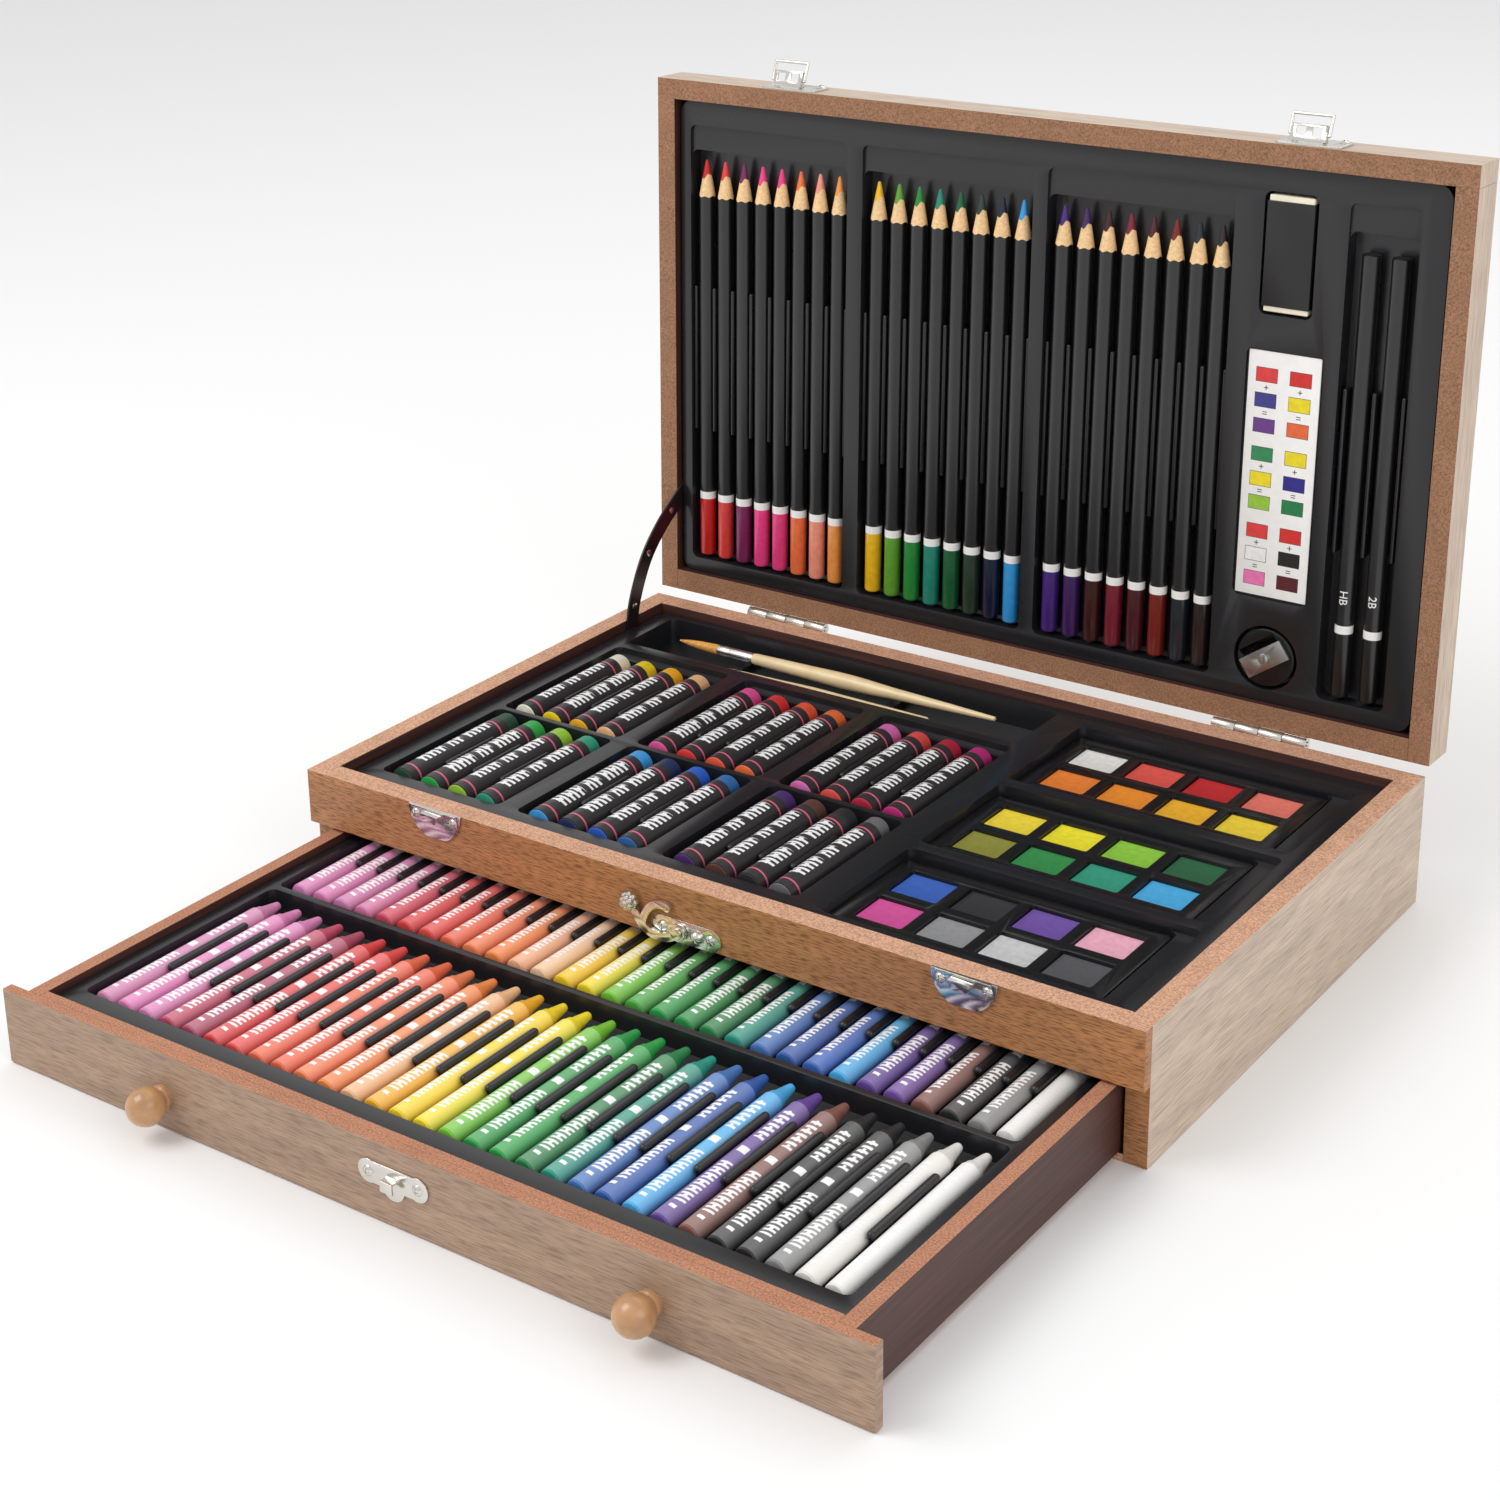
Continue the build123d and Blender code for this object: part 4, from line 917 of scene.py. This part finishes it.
class ARTCASE_OT_lid_extras(ArtCaseOperator, bpy.types.Operator):
    """Builds the eraser, the mixing chart and the sharpener"""

    bl_idname = "artcase.lid_extras"
    bl_label = "Eraser, chart and sharpener"

    def build(self):
        rubber = finish("vinyl_eraser", plain, linear("#efe6cf"), 0.6, 300.0, 0.06, 0.05)
        sleeve = finish("coated_black_card", plain, linear("#1a1a1c"), 0.35, 300.0, 0.03, 0.1)
        card = finish("coated_white_card", plain, linear("#f1efec"), 0.4, 300.0, 0.02, 0.03)
        body = finish("moulded_abs_black", plain, linear("#161618"), 0.25, 400.0, 0.04, 0.1)
        steel = finish("ground_steel", nickel, linear("#b9babb"), 0.3)
        for node, material, edge, slot in (
            ("eraser_block", rubber, 0.5, "eraser_rubber"), ("eraser_sleeve", sleeve, 0.2, "black_card"),
            ("colour_chart_card", card, 0.05, "printed_card"), ("sharpener_body", body, 0.4, "black_plastic"),
            ("sharpener_blade", steel, 0.08, "steel"), ("sharpener_screw", steel, 0.1, "steel"),
        ):
            join_body(dressed(node, material, edge), "lid", node, slot=slot)
        self.chart_print()

    rows = (0.095, 0.197, 0.300, 0.416, 0.518, 0.615, 0.733, 0.830, 0.930)
    columns = (0.26, 0.73)
    inks = ("#e03c3c #3f3a8c #6a3a8a #2f8a55 #f2dc1c #9ac83c #e03c3c #f2f1ef #ee78b4".split(),
            "#d82c28 #f2dc1c #ea6a38 #f2dc1c #2a2488 #178048 #d82c28 #1c1a18 #5a1820".split())

    def chart_print(self):
        """Colour sums in two columns: patch, plus sign, patch, equals sign, patch."""
        low, high = shut_box("colour_chart_card", LID)
        ink = finish("printed_chart_ink", coloured, 0.45, 0.02)
        outline = finish("printed_outline_ink", plain, linear("#3a3838"), 0.5)
        wide, tall = high.x - low.x, high.y - low.y
        patches, colours, signs = [], [], []
        for x_share, codes in zip(self.columns, self.inks):
            x = low.x + wide * x_share
            centres = [low.y + tall * v for v in self.rows]
            for i, (y, code) in enumerate(zip(centres, codes)):
                patches.append(Vector((x, y, low.z)))
                colours.append(linear(code))
                if i % 3 < 2:
                    signs.append((Vector((x, (y + centres[i + 1]) / 2, low.z)), i % 3))
        for name, size, points, paint, material in (
            ("chart_outlines", (9.1, 5.9, 0.04), patches, None, outline),
            ("chart_patches", (8.7, 5.5, 0.10), patches, colours, ink),
            ("chart_sign_bars", (1.9, 0.35, 0.04), self.bars(signs), None, outline),
            ("chart_sign_posts", (0.35, 1.9, 0.04), [p for p, kind in signs if kind == 0], None, outline),
        ):
            bm = bmesh.new()
            cuboid(bm, size)
            template = from_bmesh("patch", bm, [material], smooth=False)
            spread(name, template, points, material, "lid", (), "printed_card", place=LID, colours=paint)

    def bars(self, signs):
        """One bar across a plus sign, two for an equals sign."""
        places = []
        for point, kind in signs:
            lifts = (0.0,) if kind == 0 else (-0.45, 0.45)
            places += [point + Vector((0, lift * MM, 0)) for lift in lifts]
        return places


class ARTCASE_OT_knobs(ArtCaseOperator, bpy.types.Operator):
    """Builds the turned wooden drawer knobs"""

    bl_idname = "artcase.knobs"
    bl_label = "Drawer knobs"

    def build(self):
        wood = finish("turned_beech_varnished", plain, linear("#b98a5e"), 0.3, 160.0, 0.06, 0.16, 0.5)
        boxes = solid_boxes("drawer_knobs", DRAWER)
        low, high = boxes[0]
        face = shut_box("drawer_front", DRAWER)[0].y
        radius = (high.x - low.x) / 2 / MM
        reach = (face - low.y) / MM
        middle = reach - radius
        ball = [(middle + radius * sin(t), radius * cos(t)) for t in (radians(a) for a in range(-55, 91, 10))]
        profile = [(0.0, 4.6), (1.4, 4.6), (2.0, 4.0)] + ball + [(reach, 0.6)]
        template = spun("knob", profile, wood, 32)
        template.data.transform(Matrix.Rotation(pi, 4, "Z"))
        points = [Vector((p.x, face, p.z)) for p in face_points(boxes)]
        spread("turned_knobs", template, points, wood, "drawer", ("drawer_knobs",), "turned_wood", place=DRAWER)


class ARTCASE_OT_fittings(ArtCaseOperator, bpy.types.Operator):
    """Builds the nickel keepers, hook, latches and hinges"""

    bl_idname = "artcase.fittings"
    bl_label = "Metal fittings"

    def build(self):
        metal = bright_nickel()
        plans = [("catch_plates", "case", 0.15), ("hook_plate", "case", 0.15), ("hook_rivet", "case", 0.2),
                 ("hook", "hook", 0.3), ("drawer_keeper", "drawer", 0.15), ("hinge_leaves_case", "case", 0.1),
                 ("hinge_pins", "case", 0.15), ("hinge_leaves_lid", "lid", 0.1), ("latch_plates", "lid", 0.12),
                 ("latch_lever_left", "latch_lever_left", 0.15), ("latch_lever_right", "latch_lever_right", 0.15),
                 ("latch_bail_left", "latch_bail_left", 0.05), ("latch_bail_right", "latch_bail_right", 0.05)]
        for node, body, edge in plans:
            join_body(dressed(node, metal, edge), body, node, slot="nickel")
        self.knurls(metal)

    # Millimetres. ball_height is from the hook's lowest point to the middle of its ball.
    ball_radius, ball_height, lobe_sunk = 3.4, 12.8, 0.75
    ring_angle = 0.72

    def knurls(self, metal):
        """Small cast lobes over the front of the swing hook's ball, which is the hook's left end."""
        centre = shut_box("hook")[0] + Vector((self.ball_radius, self.ball_radius, self.ball_height)) * MM
        lobe = spun("lobe", [(-1.5, 0.4), (-1.1, 1.1), (0, 1.5), (1.1, 1.1), (1.5, 0.4)], metal, 12)
        points = []
        for ring, count, lean in ((0, 1, 0.0), (1, 6, 0.5), (2, 8, 0.0)):
            tilt = ring * self.ring_angle
            for i in range(count):
                around = 2 * pi * (i + lean) / count
                out = Vector((sin(tilt) * cos(around), -cos(tilt), sin(tilt) * sin(around)))
                points.append(centre + out * (self.ball_radius - self.lobe_sunk) * MM)
        spread("hook_ball_lobes", lobe, points, metal, "hook", (), "nickel")


class ARTCASE_OT_screws(ArtCaseOperator, bpy.types.Operator):
    """Builds the round-head cross screws"""

    bl_idname = "artcase.screws"
    bl_label = "Screws"

    def build(self):
        metal = bright_nickel()
        front = Matrix.Identity(4)
        rear = Matrix.Rotation(pi, 4, "Z")
        plans = [("case_front_screws", "case", CASE, front), ("drawer_keeper_screws", "drawer", DRAWER, front),
                 ("latch_screws", "lid", LID, front), ("hinge_screws_case", "case", CASE, rear),
                 ("hinge_screws_lid", "lid", LID, rear)]
        for node, body, place, turn in plans:
            boxes = solid_boxes(node, place)
            template = self.head(stick_size(boxes[0])[0], metal)
            template.data.transform(turn)
            spread(node + "_heads", template, face_points(boxes, back=turn == rear), metal, body, (node,), "nickel",
                   place=place)

    def head(self, radius, metal):
        """Domed head facing -Y with its top at the origin, and a cross cut."""
        height = radius * 0.52
        profile = [(6.0, 0.8), (height + 0.05, 0.8), (height, radius * 0.99), (height * 0.75, radius * 0.89),
                   (height * 0.4, radius * 0.67), (height * 0.14, radius * 0.4), (0.0, radius * 0.1)]
        head = spun("head", profile, metal, 24)
        bm = bmesh.new()
        arm, depth, slot = radius * 1.2, 0.9, 0.42
        for size in ((arm, depth, slot), (slot, depth, arm)):
            cuboid(bm, size)
        cutter = from_bmesh("cross", bm, [metal], smooth=False)
        cut = head.modifiers.new("cross", "BOOLEAN")
        cut.operation, cut.object, cut.solver, cut.use_self = "DIFFERENCE", cutter, "EXACT", True
        settle(head)
        drop(cutter)
        return head


class ARTCASE_OT_strap(ArtCaseOperator, bpy.types.Operator):
    """Builds the riveted stay strap between the case and the lid"""

    bl_idname = "artcase.strap"
    bl_label = "Stay strap"

    width, thickness = 8.0, 0.9
    # The strap's section: shares of its thickness and of half its width.
    section = [(0, -1.0), (0.25, -1.03), (0.75, -1.03), (1, -1.0), (1, 1.0), (0.75, 1.03), (0.25, 1.03), (0, 1.0)]
    # Places measured from the hinge axis, towards the back and up.
    path = [(-35.6, -16.3), (-35.6, -4.3), (-33.1, 7.7), (-24.1, 24.7), (-11.6, 37.2), (3.4, 47.2), (8.9, 50.7)]
    rivets = [(-33.8, 5.2), (-22.1, 27.2), (-4.1, 42.3)]

    def build(self):
        tape = finish("coated_webbing_black", plain, linear("#1c1518"), 0.32, 700.0, 0.25, 0.2, 0.2)
        x0 = shut_box("stay_strap")[0].x / MM
        line = [(y + HINGE.y / MM, z + HINGE.z / MM) for y, z in self.smooth_line(8)]
        bm = bmesh.new()
        rings = []
        for i, (y, z) in enumerate(line):
            before, after = line[max(i - 1, 0)], line[min(i + 1, len(line) - 1)]
            along = Vector((after[0] - before[0], after[1] - before[1])).normalized()
            side = Vector((-along.y, along.x)) * self.width / 2
            rings.append([bm.verts.new(((x0 + depth * self.thickness) * MM, (y + side.x * reach) * MM,
                                        (z + side.y * reach) * MM)) for depth, reach in self.section])
        count = len(rings[0])
        for a, b in zip(rings, rings[1:]):
            for k in range(count):
                bm.faces.new((a[k], a[(k + 1) % count], b[(k + 1) % count], b[k]))
        bm.faces.new(list(reversed(rings[0])))
        bm.faces.new(rings[-1])
        bmesh.ops.recalc_face_normals(bm, faces=bm.faces)
        strap = from_bmesh("stay_strap_band", bm, [tape])
        strap.data.set_sharp_from_angle(angle=radians(50))
        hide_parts("stay_strap")
        metal = bright_nickel()
        dome = spun("rivet", [(0, 1.6), (0.2, 1.55), (0.4, 1.0), (0.45, 0.3)], metal, 20)
        dome.data.transform(Matrix.Rotation(-pi / 2, 4, "Z"))
        face_x = (x0 + self.thickness) * MM
        points = [Vector((face_x, HINGE.y + y * MM, HINGE.z + z * MM)) for y, z in self.rivets]
        heads = repeated("stay_strap_rivets", dome, points, metal)
        drop(dome)
        for piece in (strap, heads):
            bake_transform(piece)

    def smooth_line(self, steps):
        """Catmull-Rom points through the path."""
        p = [Vector(q) for q in self.path]
        p = [2 * p[0] - p[1]] + p + [2 * p[-1] - p[-2]]
        line = []
        for i in range(1, len(p) - 2):
            for k in range(steps):
                t = k / steps
                a, b, c, d = p[i - 1 : i + 3]
                q = 0.5 * (2 * b + (c - a) * t + (2 * a - 5 * b + 4 * c - d) * t**2 + (3 * b - a - 3 * c + d) * t**3)
                line.append(tuple(q))
        return line + [tuple(p[-2])]


class ARTCASE_OT_stage(ArtCaseOperator, bpy.types.Operator):
    """Builds the floor, the studio light and the camera"""

    bl_idname = "artcase.stage"
    bl_label = "Stage"

    sky_strength = 0.78
    # Soft boxes: name, place in metres, size in metres, power in watts.
    lamps = (("key", (-0.8, -1.0, 1.5), 1.0, 13.0), ("fill", (1.5, -0.6, 1.0), 1.0, 4.5),
             ("back", (0.1, 1.3, 1.7), 1.6, 6.5))
    azimuth, elevation, roll = 36.58, 19.78, -1.37
    target = (0.0, 0.0, 50.0)
    slide, lift, distance = -67.53, 95.12, 1069.4
    aim, floor_size = Vector((0, 0, 0.08)), 6.0
    focal_px, image_px = 2719.3, 1500.0
    centre_px = (681.0, 544.3)

    def build(self):
        white, tree = new_material("painted_floor_white")
        surface(tree, Base_Color=linear("#f4f4f4"), Roughness=0.8)
        bm = bmesh.new()
        bmesh.ops.create_grid(bm, x_segments=1, y_segments=1, size=self.floor_size)
        floor = from_bmesh("floor", bm, [white], smooth=False)
        self.lights()
        self.camera()

    def lights(self):
        world = bpy.context.scene.world or bpy.data.worlds.new("studio")
        bpy.context.scene.world = world
        world.use_nodes = True
        sky = world.node_tree.nodes.get("Background")
        sky.inputs["Color"].default_value = (1, 1, 1, 1)
        sky.inputs["Strength"].default_value = self.sky_strength
        bpy.context.scene.view_settings.view_transform = "Standard"
        for name, spot, size, watts in self.lamps:
            lamp = bpy.data.lights.new(name, "AREA")
            lamp.energy, lamp.size = watts, size
            obj = link(bpy.data.objects.new(name, lamp))
            obj.location = spot
            obj.rotation_euler = (self.aim - Vector(spot)).to_track_quat("-Z", "Y").to_euler()

    def camera(self):
        az, el, ro = radians(self.azimuth), radians(self.elevation), radians(self.roll)
        back = Vector((sin(az) * cos(el), -cos(az) * cos(el), sin(el)))
        right = (-back).cross(Vector((0, 0, 1))).normalized()
        up = right.cross(-back)
        place = (Vector(self.target) + right * self.slide + up * self.lift + back * self.distance) * MM
        right, up = cos(ro) * right + sin(ro) * up, cos(ro) * up - sin(ro) * right
        data = bpy.data.cameras.new("camera")
        data.sensor_width = 36.0
        data.lens = 36.0 * self.focal_px / self.image_px
        data.shift_x = (self.image_px / 2 - self.centre_px[0]) / self.image_px
        data.shift_y = (self.centre_px[1] - self.image_px / 2) / self.image_px
        data.clip_start, data.clip_end = 0.01, 50.0
        camera = link(bpy.data.objects.new("camera", data))
        camera.matrix_world = Matrix((right, up, back)).transposed().to_4x4()
        camera.location = place
        bpy.context.scene.camera = camera


PIECES = (
    ARTCASE_OT_carcass, ARTCASE_OT_lid_boards, ARTCASE_OT_drawer_boards, ARTCASE_OT_trays, ARTCASE_OT_pencils,
    ARTCASE_OT_crayons, ARTCASE_OT_pastels, ARTCASE_OT_paints, ARTCASE_OT_brushes, ARTCASE_OT_lid_extras,
    ARTCASE_OT_knobs, ARTCASE_OT_fittings, ARTCASE_OT_screws, ARTCASE_OT_strap, ARTCASE_OT_stage,
)


class ARTCASE_PT_panel(bpy.types.Panel):
    """Lists the settings and the pieces of the art case"""

    bl_idname = "ARTCASE_PT_panel"
    bl_label = "Art Case"
    bl_space_type = "VIEW_3D"
    bl_region_type = "UI"
    bl_category = "Art Case"

    def draw(self, context):
        for name in ArtCaseSettings.__annotations__:
            self.layout.prop(context.scene.art_case, name)
        for piece in PIECES:
            self.layout.operator(piece.bl_idname)


CLASSES = (ArtCaseSettings, *PIECES, ARTCASE_PT_panel)


def register():
    for cls in CLASSES:
        bpy.utils.register_class(cls)
    bpy.types.Scene.art_case = PointerProperty(type=ArtCaseSettings)


def unregister():
    del bpy.types.Scene.art_case
    for cls in reversed(CLASSES):
        bpy.utils.unregister_class(cls)


def main():
    register()
    for piece in PIECES:
        group, name = piece.bl_idname.split(".")
        getattr(getattr(bpy.ops, group), name)()


if __name__ == "__main__":
    main()
